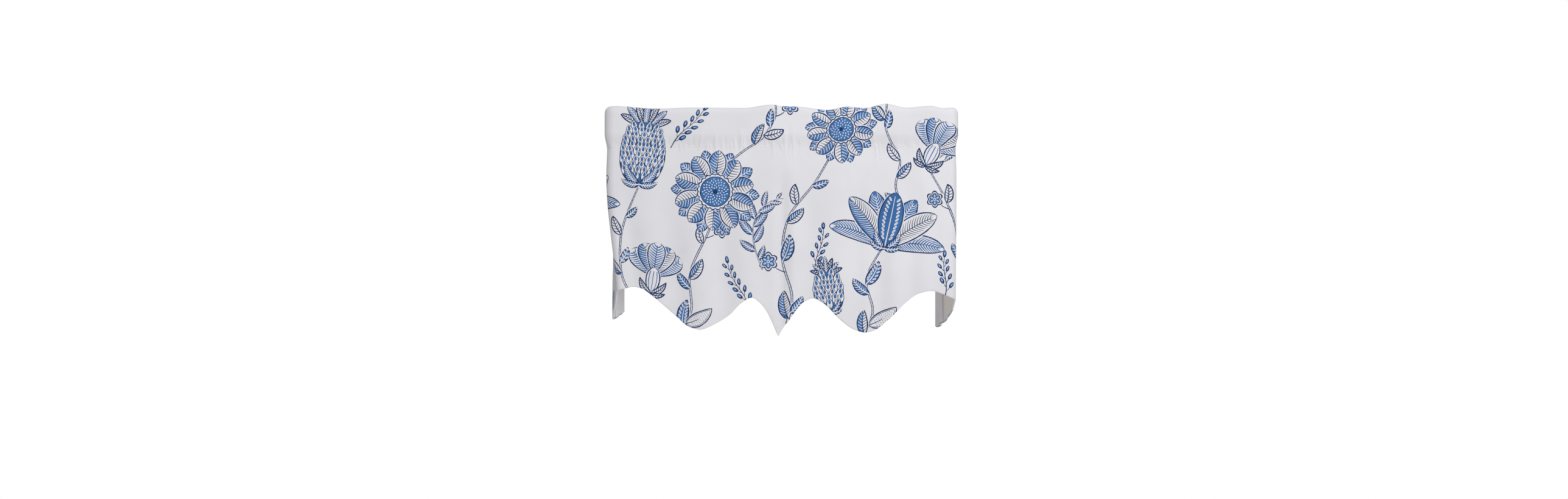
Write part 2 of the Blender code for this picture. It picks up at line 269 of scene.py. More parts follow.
GROUND, BLUE, NAVY = range(3)
PRINT_SEED = 41
OUTLINE = 2.3  # width of a printed outline
VEIN = 1.7  # width of a vein at its root
HALO = 1.6  # plain ground kept free round a motif that lies over another
MIDRIB = VEIN * 1.2
VEINS_START, VEINS_END = 0.14, 0.86  # shares of the leaf between which it has veins
VEIN_SLANT = 0.16  # how far to the tip a vein leans
STEP = 2.6  # length of a straight piece of a printed curve
SLACK = 0.22  # a point this near the line between its neighbours is left out


def unit(degrees):
    angle = np.radians(degrees)
    return np.stack([np.cos(angle), np.sin(angle)], axis=-1)


def thinned(outline):
    """The outline without the points that hardly bend it."""
    for first in (0, 1, 0, 1):
        before, after = np.roll(outline, 1, axis=0), np.roll(outline, -1, axis=0)
        chord, reach = after - before, outline - before
        long = np.maximum(np.linalg.norm(chord, axis=1), 1e-9)
        off = np.abs(chord[:, 0] * reach[:, 1] - chord[:, 1] * reach[:, 0]) / long
        ends = np.minimum(np.linalg.norm(reach, axis=1), np.linalg.norm(after - outline, axis=1))
        spare = ((off < SLACK) & ((chord * reach).sum(axis=1) > 0)) | (ends < 0.05)
        spare &= np.arange(len(outline)) % 2 == first
        if len(outline) - spare.sum() < 3:
            break
        outline = outline[~spare]
    return outline


class Print:
    """The shapes printed on the flat cloth, each later one over the earlier ones.

    Millimetres: x along the run of the cloth from its middle, y up from the pocket's top edge."""

    def __init__(self):
        self.shapes = []
        self.random = np.random.default_rng(PRINT_SEED)

    def fill(self, ink, outline, shake=0.16):
        outline = thinned(np.asarray(outline, float))
        self.shapes.append((ink, outline + self.random.normal(0, shake, outline.shape)))

    def stroke(self, ink, line, width, root, tip):
        """A line whose width goes from root to tip, both as shares of width, with its fullest part before half."""
        line = np.asarray(line, float)
        along = np.gradient(line, axis=0)
        along /= np.maximum(np.linalg.norm(along, axis=1, keepdims=True), 1e-9)
        share = np.linspace(0, 1, len(line))
        half = width / 2 * (root + (tip - root) * share ** 1.5)
        side = np.stack([-along[:, 1], along[:, 0]], axis=1) * half[:, None]
        self.fill(ink, np.concatenate([line + side, (line - side)[::-1]]), 0.09)

    def dot(self, ink, centre, length, width, heading, points):
        turn = np.arange(points) * 360 / points
        x, y = unit(turn).T
        along, across = unit(heading), unit(heading + 90)
        self.fill(ink, np.asarray(centre) + np.outer(x * length / 2, along) + np.outer(y * width / 2, across), 0.08)


class Blade:
    """A leaf, petal or sepal: a midrib that bends evenly, and a half width along it.

    Places on it are (s, t): s from 0 at the base to 1 at the tip, t from -1 at the right edge to 1 at the left one."""

    def __init__(self, base, heading, length, width, bend=0.0, belly=0.42, point=0.8):
        self.base, self.heading, self.length, self.bend = np.asarray(base, float), heading, length, bend
        self.width, self.belly, self.point = width, belly, point

    def heading_at(self, s):
        return self.heading + self.bend * np.asarray(s, float)

    def half(self, s):
        s = np.clip(s, 0, 1)
        a = self.point * self.belly / (1 - self.belly)
        peak = self.belly ** a * (1 - self.belly) ** self.point
        return self.width / 2 * s ** a * (1 - s) ** self.point / peak

    def middle(self, s):
        s = np.asarray(s, float)
        if abs(self.bend) < 1e-6:
            return self.base + self.length * s[..., None] * unit(self.heading)
        radius = self.length / math.radians(self.bend)
        start, now = np.radians(self.heading), np.radians(self.heading_at(s))
        return self.base + radius * np.stack([np.sin(now) - np.sin(start), np.cos(start) - np.cos(now)], axis=-1)

    def at(self, s, t):
        s, t = np.broadcast_arrays(np.asarray(s, float), np.asarray(t, float))
        across = unit(self.heading_at(s) + 90)
        return self.middle(s) + across * (self.half(s) * t)[..., None]

    def edge(self, inset=0.0, right=None):
        """The outline this far inside the edge. right is a share of the half width that ends it on the right."""
        count = max(6, int(self.length / STEP))
        s = 0.5 - 0.5 * np.cos(np.linspace(0, np.pi, count + 1))
        half = self.half(s)
        keep = half > inset * 1.02 + 0.05
        if inset == 0:
            keep[0] = keep[-1] = True
        s, half = s[keep], half[keep]
        if len(s) < 3:
            return None
        reach = 1 - inset / np.maximum(half, 1e-6)
        return np.concatenate([self.at(s, -reach if right is None else right), self.at(s, reach)[::-1]])


def body(cloth, blade, ink, halo=False, line=OUTLINE):
    """The blade's outline with its fill."""
    if halo:
        wide = blade.width + 2 * HALO
        around = Blade(blade.base, blade.heading, blade.length, wide, blade.bend, blade.belly, blade.point)
        cloth.fill(GROUND, around.edge(), 0.0)
    cloth.fill(NAVY, blade.edge())
    inside = blade.edge(line)
    if inside is not None:
        cloth.fill(ink, inside, 0.1)


def veins(cloth, blade, ink, pitch, reach, sides, width):
    """Veins from the midrib to reach, a share of the way to the edge."""
    stretch = VEINS_END - VEINS_START
    count = max(2, int(blade.length * stretch / pitch))
    for side in sides:
        for s in np.linspace(VEINS_START, VEINS_END, count) + (0.35 * stretch / count if side > 0 else 0):
            if blade.half(s) * reach < 1.6:
                continue
            t = np.linspace(0.0, reach, 4)
            line = blade.at(np.minimum(s + VEIN_SLANT * t ** 1.4, 0.97), side * t)
            cloth.stroke(ink, line, width, 0.9, 0.35)


def midrib(cloth, blade, ink, end, width):
    count = max(4, int(blade.length / STEP / 2))
    cloth.stroke(ink, blade.middle(np.linspace(0.0, end, count)), width, 1.0, 0.4)


def cells(cloth, blade, pitch):
    """Pale spots with a dark dash, a row on either side of the midrib."""
    count = max(2, int(blade.length * 0.72 / (pitch * 1.35)))
    for s in np.linspace(0.16, 0.84, count):
        room = blade.half(s)
        if room < 3.0:
            continue
        for side in (-1, 1):
            centre = blade.at(min(s + 0.03, 0.95), side * 0.5)
            heading = blade.heading_at(s) + side * 38
            long = min(room * 0.95, pitch * 1.9)
            cloth.dot(GROUND, centre, long, pitch * 0.82, heading, 8)
            cloth.dot(NAVY, centre, long * 0.5, 0.9, heading, 4)


def echo(cloth, blade):
    """A line that follows the outline inside it, and the blade within that line."""
    inner = Blade(
        blade.middle(0.04), blade.heading + 0.04 * blade.bend, blade.length * 0.88, blade.width - 6.4,
        blade.bend * 0.9, blade.belly, blade.point,
    )
    if inner.width <= 5:
        return blade
    cloth.fill(NAVY, inner.edge())
    cloth.fill(GROUND, inner.edge(1.0), 0.05)
    return inner


def seeds(cloth, blade, pitch):
    """Rows of small seeds across the blade."""
    for row, s in enumerate(np.arange(0.2, 0.84, pitch / blade.length)):
        room = blade.half(s) - 1.9
        across = int(2 * room / (pitch * 0.9))
        if across < 0 or room < 0.6:
            continue
        aside = 0.25 * pitch if row % 2 else -0.25 * pitch
        places = (np.arange(across + 1) - across / 2) * pitch * 0.9 + aside
        for place in places[np.abs(places) <= room]:
            centre = blade.at(s, place / blade.half(s)) + cloth.random.normal(0, 0.2, 2)
            cloth.dot(NAVY, centre, 2.0, 1.3, blade.heading_at(s), 5)


# Kinds of leaf: fill, its veins (ink, reach, sides, width), and its midrib's ink, end and width
BOTH, NEAR_TIP = (-1, 1), 0.93
LEAVES = {
    "solid": (BLUE, ((GROUND, 0.8, BOTH, VEIN),), (GROUND, NEAR_TIP, MIDRIB)),
    "lined": (GROUND, ((NAVY, 0.72, BOTH, VEIN),), (NAVY, NEAR_TIP, MIDRIB)),
    "blueveins": (GROUND, ((BLUE, 0.85, BOTH, VEIN * 1.6),), (NAVY, NEAR_TIP, VEIN)),
    "split": (GROUND, ((GROUND, 0.8, (1,), VEIN), (NAVY, 0.75, (-1,), VEIN)), (NAVY, NEAR_TIP, MIDRIB)),
    "cells": (BLUE, (), (GROUND, NEAR_TIP, MIDRIB)),
    "dotted": (GROUND, (), (NAVY, 0.45, VEIN)),
}


def leaf(cloth, blade, style, halo=False, pitch=4.2):
    """A leaf or petal of one of these kinds, with pitch between its veins, cells or seeds."""
    fill, veined, rib = LEAVES[style]
    body(cloth, blade, fill, halo)
    half = blade.edge(OUTLINE, right=0.06) if style == "split" else None
    if half is not None:
        cloth.fill(BLUE, half, 0.08)
    within = echo(cloth, blade) if style == "dotted" else blade
    for ink, reach, sides, width in veined:
        veins(cloth, blade, ink, pitch, reach, sides, width)
    midrib(cloth, blade, *rib)
    if style == "cells":
        cells(cloth, blade, pitch)
    elif style == "dotted":
        seeds(cloth, within, pitch)


def curve(start, heading, length, bend, count=None):
    """Points on a line that bends evenly; bend may be a list of turns for equal parts of its length."""
    bends = bend if isinstance(bend, (list, tuple)) else (bend,)
    count = count or max(4, int(length / len(bends) / STEP / 1.4))
    points, place = [np.asarray(start, float)], np.asarray(start, float)
    for turn in bends:
        part = Blade(place, heading, length / len(bends), 1.0, turn if abs(turn) > 1e-3 else 1e-3)
        run = part.middle(np.linspace(0, 1, count)[1:])
        points += list(run)
        place, heading = run[-1], heading + turn
    return np.array(points)


def through(points):
    """A smooth line through these places."""
    points = np.asarray(points, float)
    ends = np.concatenate([[2 * points[0] - points[1]], points, [2 * points[-1] - points[-2]]])
    line = []
    for a, b, c, d in zip(ends, ends[1:], ends[2:], ends[3:]):
        t = np.linspace(0, 1, max(3, int(np.linalg.norm(c - b) / STEP / 1.4)), endpoint=False)[:, None]
        line.append(0.5 * (2 * b + (c - a) * t + (2 * a - 5 * b + 4 * c - d) * t**2 + (3 * b - a - 3 * c + d) * t**3))
    return np.concatenate(line + [points[-1:]])


def headings(line):
    along = np.gradient(line, axis=0)
    return np.degrees(np.arctan2(along[:, 1], along[:, 0]))


def stem(cloth, line, width):
    """A twig of two lines with ticks between them."""
    cloth.stroke(NAVY, line, width, 1.0, 0.7)
    cloth.stroke(GROUND, line, width - 2.7, 1.0, 0.5)
    for place, turn in list(zip(line, headings(line)))[2:-1:2]:
        cloth.dot(BLUE, place, 3.0, 1.0, turn + 35, 4)


def on(line, share):
    """The (place, heading) this share of the way along a line."""
    at = share * (len(line) - 1)
    low = min(int(at), len(line) - 2)
    return line[low] + (line[low + 1] - line[low]) * (at - low), headings(line)[low]


def frond(cloth, start, heading, length, bend, count, leaf_length):
    """A feathery leaf: a thin midrib with leaflets to its right and its left in turn."""
    line = curve(start, heading, length, bend)
    for index, share in enumerate(0.12 + 0.88 * (np.arange(count) / count) ** 0.92):
        place, turn = on(line, share)
        size = leaf_length * (0.62 + 0.5 * math.sin(math.pi * min(share * 1.02, 1)) - 0.34 * share ** 3)
        side = 1 if index % 2 else -1
        leaflet = Blade(place, turn + side * (52 - 12 * share), size, size * 0.40, -side * 20, 0.42, 0.75)
        leaf(cloth, leaflet, "solid", pitch=3.4)
    cloth.stroke(NAVY, line, 2.6, 1.0, 0.5)
    cloth.stroke(GROUND, line, 1.0, 1.0, 0.5)


def buds(cloth, start, heading, length, bend, count, size):
    """A sprig with buds to its right and its left in turn, and one at its tip."""
    line = curve(start, heading, length, bend)
    cloth.stroke(NAVY, line, 1.7, 1.0, 0.6)
    for index in range(count):
        place, turn = on(line, 0.16 + 0.8 * index / count)
        side = 1 if index % 2 else -1
        twig = curve(place, turn + side * 48, 9 * (1 - 0.35 * index / count), -side * 22, 4)
        cloth.stroke(NAVY, twig, 1.3, 1.0, 0.7)
        bud(cloth, twig[-1], headings(twig)[-1], size * (1 - 0.2 * index / count))
    place, turn = on(line, 1.0)
    bud(cloth, place, turn, size)


def ring(centre, radius, lobes=0, depth=0.0):
    """A round outline, or one with lobes."""
    count = max(12, lobes * 5, int(2 * math.pi * radius / STEP))
    angle = np.linspace(0, 2 * np.pi, count, endpoint=False)
    reach = radius * (1 + depth * (np.abs(np.sin(lobes * angle / 2)) - 0.5))
    return np.asarray(centre) + np.stack([reach * np.cos(angle), reach * np.sin(angle)], axis=1)


def open_flower(cloth, centre, size, petals, turn):
    """A flower seen from above: blue petals behind parted ones, round a disc packed with seeds."""
    centre = np.asarray(centre, float)
    for reach, width, offset, style in ((1.0, 0.34, 0.5, "solid"), (0.93, 0.42, 0.0, "split")):
        for index in range(petals):
            angle = turn + (index + offset) * 360 / petals
            length = size * (reach - 0.26) * (0.94 + 0.12 * cloth.random.random())
            base, bend = centre + unit(angle) * size * 0.26, cloth.random.normal(0, 8)
            leaf(cloth, Blade(base, angle, length, size * width, bend, 0.55, 0.66), style, halo=True, pitch=4.4)
    disc, seeded = size * 0.41, size * 0.35
    cloth.fill(GROUND, ring(centre, disc + HALO))
    cloth.fill(NAVY, ring(centre, disc, petals * 2, 0.08))
    cloth.fill(GROUND, ring(centre, disc - OUTLINE, petals * 2, 0.08))
    cloth.fill(NAVY, ring(centre, seeded))
    cloth.fill(BLUE, ring(centre, seeded - 1.4))
    count = int((size * 0.30) ** 2 / 7.5)
    for index in range(4, count):
        angle = index * 137.5
        spot = centre + unit(angle) * size * 0.30 * math.sqrt(index / count)
        cloth.dot(GROUND, spot, 3.4, 2.1, angle, 6)
    cloth.fill(NAVY, ring(centre, size * 0.055))


def thistle(cloth, base, heading, length, width):
    """A thistle head: a tuft over a body of pointed scales, the lower ones over the upper ones."""
    whole = Blade(base, heading, length * 0.8, width, 0, 0.46, 0.42)
    for index in (0, 6, 1, 5, 2, 4, 3):
        lean = (index - 3) * 17
        long = length * (0.42 - abs(lean) * 0.0012)
        blade = Blade(whole.middle(0.86), heading + lean, long, length * 0.1, lean * 0.5, 0.6, 0.7)
        leaf(cloth, blade, "solid" if index % 2 else "lined", pitch=4.0)
    body(cloth, whole, BLUE, halo=True)
    rows = max(4, int(length / 13))
    for row in range(rows):
        s = 0.84 - 0.86 * row / rows
        room = whole.half(max(s, 0.03) + 0.05)
        across = max(1, round(2 * room / 15)) + row % 2
        for place in (np.arange(across) - (across - 1) / 2) * 2 * room / (across + 0.6):
            foot = whole.at(max(s, 0.0), 0) + unit(heading + 90) * place
            scale = Blade(foot, heading + 24 * (place / max(room, 1e-6)), 19, 13, 0, 0.4, 0.66)
            cloth.fill(NAVY, scale.edge())
            cloth.fill(GROUND, scale.edge(1.2), 0.05)
            cloth.fill(BLUE, Blade(scale.middle(0.42), scale.heading, 9, 5, 0, 0.4, 0.7).edge(), 0.05)
            cloth.stroke(NAVY, scale.middle(np.linspace(0.06, 0.4, 3)), 1.0, 1.0, 0.5)
    sepals(cloth, base, heading, length * 0.4, (70, 108))


def tulip(cloth, base, heading, size):
    """A tulip seen from the side, opened wide, with the outer petals curling away."""
    petals = (
        (58, 0.98, 0.30, 44, "blueveins"), (-58, 0.98, 0.30, -44, "blueveins"),
        (17, 0.94, 0.34, 10, "solid"), (-17, 0.94, 0.34, -10, "solid"),
        (36, 1.0, 0.36, 20, "split"), (-36, 1.0, 0.36, -20, "lined"), (0, 0.92, 0.40, 0, "cells"),
    )
    for lean, length, width, bend, style in petals:
        blade = Blade(base, heading + lean, size * length, size * width, bend, 0.56, 0.62)
        leaf(cloth, blade, style, halo=True, pitch=4.8)
    sepals(cloth, base, heading, size * 0.44, (66, 104))


def sepals(cloth, base, heading, size, spread, style="solid"):
    """Two sepals on either side, the long ones nearer the flower."""
    for side in (-1, 1):
        for angle, long in zip(spread, (0.8, 0.62)):
            blade = Blade(base, heading + side * angle, size * long, size * long * 0.36, -side * 62, 0.4, 0.8)
            leaf(cloth, blade, style, pitch=3.8)


def rosette(cloth, centre, size):
    """A small flower with round lobes."""
    centre, lobes = np.asarray(centre, float), 6
    cloth.fill(GROUND, ring(centre, size + HALO, lobes, 0.34), 0)
    cloth.fill(NAVY, ring(centre, size, lobes, 0.34))
    cloth.fill(GROUND, ring(centre, size - OUTLINE, lobes, 0.36), 0.05)
    cloth.fill(NAVY, ring(centre, size * 0.72, lobes, 0.34))
    cloth.fill(BLUE, ring(centre, size * 0.72 - 1.1, lobes, 0.34), 0.05)
    for index in range(lobes):
        angle = (index + 0.5) * 360 / lobes
        spot = centre + unit(angle) * size * 0.46
        cloth.dot(GROUND, spot, size * 0.36, size * 0.2, angle, 8)
        cloth.dot(NAVY, spot, size * 0.16, 1.0, angle, 4)
    cloth.fill(GROUND, ring(centre, size * 0.2))
    cloth.fill(NAVY, ring(centre, size * 0.1))


def fan_flower(cloth, base, heading, size):
    """A fan of broad petals, over a striped cup."""
    base, petals = np.asarray(base, float), 5
    cup = Blade(base, heading, size * 0.5, size * 0.3, 0, 0.55, 0.5)
    foot = base + unit(heading) * size * 0.32
    middle = (petals - 1) / 2
    for index in sorted(range(petals), key=lambda i: -abs(i - middle)):
        angle = (index - middle) * 116 / petals
        blade = Blade(foot, heading + angle, size * 0.66, size * 0.36, angle * 0.16, 0.7, 0.42)
        leaf(cloth, blade, "split" if index % 2 else "blueveins", halo=True, pitch=4.0)
    body(cloth, cup, GROUND, halo=True)
    for t in (-0.55, 0.0, 0.55):
        cloth.stroke(BLUE, cup.at(np.linspace(0.08, 0.86, 5), t), 2.2, 0.6, 0.8)
    sepals(cloth, base, heading, size * 0.5, (76, 112), "lined")


def bud(cloth, base, heading, size):
    """A closed bud with two small sepals."""
    body(cloth, Blade(base, heading, size, size * 0.56, 0, 0.5, 0.6), BLUE, line=1.2)
    cloth.stroke(GROUND, np.asarray(base) + np.outer(np.linspace(0.35, 0.8, 3) * size, unit(heading)), 1.2, 1.0, 0.4)
    for side in (-1, 1):
        cloth.fill(NAVY, Blade(base, heading + side * 40, size * 0.5, size * 0.2, -side * 40).edge(), 0.05)


# Twigs: the places they pass, their width, and what grows on them: share of the way along, side (1 left, -1 right),
# kind, size, lean from the twig
TWIGS = (
    (((-214, -450), (-176, -392), (-176, -318), (-136, -236), (-126, -180)), 4.9, (
        (0.12, 1, "cells", 56, 46), (0.16, -1, "dotted", 60, 46), (0.40, 1, "solid", 40, 50),
        (0.46, -1, "split", 46, 50), (0.70, 1, "lined", 34, 60), (0.74, -1, "rosette", 15, 54))),
    (((-290, -372), (-312, -318), (-304, -240), (-268, -158)), 4.6, (
        (0.26, 1, "split", 44, 50), (0.36, -1, "cells", 34, 50), (0.58, 1, "lined", 38, 50),
        (0.74, -1, "solid", 30, 46))),
    (((2, -440), (20, -366), (2, -290), (14, -214), (62, -150), (92, -100)), 5.0, (
        (0.10, 1, "split", 54, 44), (0.13, -1, "solid", 40, 40), (0.34, 1, "rosette", 16, 60),
        (0.40, -1, "cells", 52, 42), (0.60, -1, "split", 42, 50), (0.70, 1, "lined", 40, 60),
        (0.82, -1, "solid", 34, 52))),
    (((146, -450), (170, -392), (158, -330), (186, -274)), 4.8, (
        (0.10, 1, "split", 46, 46), (0.20, -1, "dotted", 62, 50), (0.52, 1, "solid", 42, 46),
        (0.62, -1, "cells", 50, 56))),
    (((364, -440), (352, -330), (330, -250), (306, -180), (272, -116)), 4.6, (
        (0.44, 1, "solid", 40, 46), (0.53, -1, "split", 44, 46), (0.73, 1, "rosette", 14, 56),
        (0.77, -1, "lined", 36, 44))),
    (((-100, -112), (-66, -86), (-34, -64), (-10, -20), (-26, 46)), 4.2, (
        (0.30, 1, "split", 42, 52), (0.42, -1, "lined", 40, 50), (0.52, 1, "solid", 34, 46),
        (0.62, -1, "rosette", 15, 56), (0.82, -1, "split", 42, 46), (0.86, 1, "cells", 38, 46))),
    (((240, -216), (214, -160), (222, -104), (194, -44), (208, 40)), 4.4, (
        (0.12, 1, "solid", 36, 50), (0.30, -1, "split", 40, 46), (0.42, 1, "lined", 40, 50),
        (0.66, -1, "solid", 34, 46), (0.72, 1, "split", 42, 50))),
    (((-414, -450), (-398, -360), (-416, -270), (-398, -200)), 4.8, (
        (0.14, 1, "solid", 46, 46), (0.24, -1, "split", 50, 46), (0.50, 1, "lined", 44, 50),
        (0.56, -1, "cells", 42, 50))),
    (((402, -460), (392, -380), (418, -310), (404, -250)), 4.8, (
        (0.14, -1, "split", 46, 46), (0.20, 1, "solid", 46, 46), (0.52, -1, "rosette", 15, 56),
        (0.60, 1, "lined", 40, 50))),
)


def draw_print():
    """Twigs with their leaves first, then fronds and buds, and the flowers over them."""
    cloth = Print()
    for line, width, growths in TWIGS:
        line = through(line)
        stem(cloth, line, width)
        for share, side, kind, size, lean in growths:
            place, turn = on(line, share)
            angle = turn + side * lean
            if kind == "rosette":
                twig = curve(place, angle, size * 1.6, -side * 30, 5)
                cloth.stroke(NAVY, twig, 1.8, 1.0, 0.8)
                rosette(cloth, twig[-1] + unit(angle - side * 30) * size * 0.8, size)
            else:
                leaf(cloth, Blade(place, angle, size, size * 0.46, -side * 38, 0.42, 0.75), kind, halo=True)
    frond(cloth, (-36, -312), 112, 168, (-6, -24, -38, -44), 10, 38)
    buds(cloth, (64, -318), 96, 84, (-30, 26), 8, 13)
    buds(cloth, (-56, -392), 106, 104, (24, -30), 10, 14)
    buds(cloth, (-208, -84), 62, 96, (-24, 20), 9, 15)
    buds(cloth, (303, -364), 76, 76, (26, -20), 8, 13)
    buds(cloth, (-500, -330), 80, 110, (30, -20), 10, 14)
    buds(cloth, (492, -80), 104, 110, (-24, 30), 10, 14)
    frond(cloth, (430, -170), 104, 200, (30, 50, 40), 10, 30)
    buds(cloth, (-440, -110), 96, 110, (-30, 20), 9, 14)
    thistle(cloth, (-266, -152), 84, 150, 86)
    thistle(cloth, (92, -392), 96, 96, 56)
    tulip(cloth, (192, -272), 78, 116)
    tulip(cloth, (-398, -200), 86, 100)
    open_flower(cloth, (-124, -166), 82, 10, 14)
    open_flower(cloth, (112, -48), 68, 9, 30)
    open_flower(cloth, (404, -196), 64, 9, 10)
    fan_flower(cloth, (-256, -356), 78, 98)
    fan_flower(cloth, (270, -118), 62, 96)
    fan_flower(cloth, (-150, 14), 96, 62)
    return cloth


# ---------------------------------------------------------------- how the cloth hangs

PROBE = 2e-4  # how far to either side a direction is taken from
HEM_TABLE_RUN = np.linspace(-WALL_RUN, WALL_RUN, 3001)
HEM_TABLE_DROP = hem_drop_exactly(HEM_TABLE_RUN)


def hem_drop(run):
    return np.interp(run, HEM_TABLE_RUN, HEM_TABLE_DROP)


def quarter_ellipse(a, b):
    return math.pi / 4 * (3 * (a + b) - math.sqrt((3 * a + b) * (a + 3 * b)))


# Cloth from the top line to the flat of the pocket, and to the stitching
ROUND_LENGTH = quarter_ellipse(POCKET * ROUNDED, POCKET_DEPTH / 2)
SEAM_DOWN = ROUND_LENGTH + POCKET * (1 - ROUNDED)


def hem_down(run):
    """How far down the cloth its hem line is."""
    return SEAM_DOWN + hem_drop(run) - POCKET - HEM_ROLL


def puckers():
    """Rows of run, half width, height, slant, reach below the stitching and reach above it."""
    random = np.random.default_rng(PUCKER_SEED)
    count = int(2 * WALL_RUN / PUCKER_PITCH)
    run = (np.arange(count) + random.uniform(-0.38, 0.38, count)) * PUCKER_PITCH - WALL_RUN
    height = PUCKER_HEIGHT * random.uniform(0.25, 1.6, count) * random.choice([-1.0, 1.0, 1.0], count)
    return np.stack(
        [
            run,
            random.uniform(0.0017, 0.0034, count),
            height * curve_through(PUCKER_STRENGTH, run),
            random.normal(0.0, 0.05, count),
            random.uniform(0.010, 0.042, count),
            SHORTEST_PUCKER + (PUCKER_REACH - SHORTEST_PUCKER) * random.uniform(0, 1, count) ** 2,
        ],
        axis=1,
    )


PUCKERS = puckers()


def pucker_height(run, drop):
    height = np.zeros(len(run))
    near = np.nonzero(np.abs(drop - POCKET) < PUCKER_REACH)[0]
    order = near[np.argsort(run[near])]
    sorted_run = run[order]
    for place, half_width, size, slant, below, above in PUCKERS:
        low, high = np.searchsorted(sorted_run, (place - 4 * half_width, place + 4 * half_width))
        these = order[low:high]
        under = drop[these] - POCKET
        fade = 1 - eased(np.where(under > 0, under / below, -under / above))
        size_here = size * np.where(under > 0, PUCKERS_BELOW, PUCKERS_ABOVE)
        if size < 0:  # A hollow ends above the stitching, where the layers lie close
            size_here *= eased(-under / HOLLOW_ENDS)
        height[these] += size_here * fade * bump(run[these] - place - slant * under, half_width)
    return height


def fold_height(run, drop):
    """How far folds and drag lines bring the panel out."""
    height = np.zeros(len(run))
    for at_seam, at_hem, half_width, fold, starts, full in FOLDS:
        place = mix(at_seam, at_hem, np.clip((drop - POCKET) / FOLDS_MOVE, 0, 1))
        height += fold * eased((drop - starts) / (full - starts)) * bump(run - place, half_width)
    for run0, drop0, run1, drop1, bow, half_width, line in DRAG_LINES:
        length = math.hypot(run1 - run0, drop1 - drop0)
        along = ((run - run0) * (run1 - run0) + (drop - drop0) * (drop1 - drop0)) / length**2
        across = ((run - run0) * (drop1 - drop0) - (drop - drop0) * (run1 - run0)) / length
        ends = eased(along / 0.3) * eased((1 - along) / 0.3)
        height += line * ends * bump(across - 4 * bow * along * (1 - along), half_width)
    return height


def panel_stand(run, drop):
    """How far in front of the plan the panel hangs, with its folds."""
    settled = eased((drop - POCKET) / PANEL_SETTLES)
    return mix(SEAM_FRONT, PANEL_FRONT, settled) + fold_height(run, drop)


def placed(run, drop, stand):
    """Places in space that stand this far in front of the plan."""
    side, x, y, heading, _ = plan(run, drop)
    z = curve_through(TOP_EDGE, run) * (1 - eased(drop / POCKET)) - drop
    return np.stack([side * (x + stand * np.sin(heading)), y - stand * np.cos(heading), z], axis=-1)


def unturned(run, down):
    """Places in space of the middle of the cloth, between its wall edges and above its hem."""
    reach = np.minimum(np.abs(down), SEAM_DOWN)
    angle = np.pi / 2 * (1 - np.minimum(reach / ROUND_LENGTH, 1))
    flat = (1 - ROUNDED) * (SEAM_DOWN - reach) / (SEAM_DOWN - ROUND_LENGTH)
    share = np.where(reach < ROUND_LENGTH, 1 - ROUNDED + ROUNDED * np.sin(angle), flat)
    drop = np.where(down > SEAM_DOWN, POCKET + down - SEAM_DOWN, POCKET * (1 - share))
    in_front = down >= 0
    swell = sum(height * bump(run - place, half) for place, half, height in POCKET_SWELLS)
    full = np.where(in_front, POCKET_DEPTH / 2 + swell, -POCKET_DEPTH / 2)
    pocket = mix(np.where(in_front, SEAM_FRONT, SEAM_BACK), full, eased(share / PINCHED)) * np.cos(angle)
    stand = np.where(down > SEAM_DOWN, panel_stand(run, drop), pocket)
    groove = SEAM_GROOVE * bump(drop - POCKET, SEAM_GROOVE_HALF_WIDTH)
    stand += np.where(in_front, pucker_height(run, drop) - groove, 0.0)
    return placed(run, drop, stand)


def as_unit(vectors):
    return vectors / np.maximum(np.linalg.norm(vectors, axis=1, keepdims=True), 1e-12)


def directions(surface, run, down):
    """Unit vectors along the run, down the cloth and out of its printed face."""
    along = surface(run + PROBE, down) - surface(run - PROBE, down)
    fall = surface(run, down + PROBE) - surface(run, down - PROBE)
    return as_unit(along), as_unit(fall), as_unit(np.cross(fall, along))


def past_the_wall(run):
    """How far past the wall edge a run is, and the run beside which the cloth turned back there lies."""
    past_wall = np.maximum(np.abs(run) - WALL_RUN, 0)
    back_along = np.maximum(past_wall - np.pi * TURN_RADIUS, 0)
    return past_wall, np.where(past_wall > 0, np.sign(run) * (WALL_RUN - back_along), run)


def hang(run, down):
    """Places in space of the middle of the cloth. Past the wall edges and the hem it turns round the lining."""
    past_wall, on_plan = past_the_wall(run)
    side_turn = np.minimum(past_wall / TURN_RADIUS, np.pi)
    hem = hem_down(on_plan)
    hem_turn = np.maximum(down - hem, 0) / TURN_RADIUS
    down = np.minimum(down, hem)
    place = unturned(on_plan, down)
    turned = np.nonzero((past_wall > 0) | (hem_turn > 0))[0]
    if len(turned):
        along, fall, out = directions(unturned, on_plan[turned], down[turned])
        side, hem = side_turn[turned, None], hem_turn[turned, None]
        place[turned] += TURN_RADIUS * (
            np.sign(run[turned, None]) * np.sin(side) * along
            + np.sin(hem) * fall
            - (2 - np.cos(side) - np.cos(hem)) * out
        )
    return place


def edge_down(run):
    """How far down the cloth its lower cut edge is: past the hem by its turn, but not beside or behind a wall edge."""
    _, on_plan = past_the_wall(run)
    turned = eased((WALL_RUN - HEM_TURN_ENDS - np.abs(run)) / HEM_TURN_FADES)
    inside = eased((np.abs(run) - WALL_RUN) / (2 * TURN_RADIUS)) * SIDE_HEM_RISE
    return hem_down(on_plan) + HEM_TURN * TURN_RADIUS * turned - inside


# ---------------------------------------------------------------- meshes

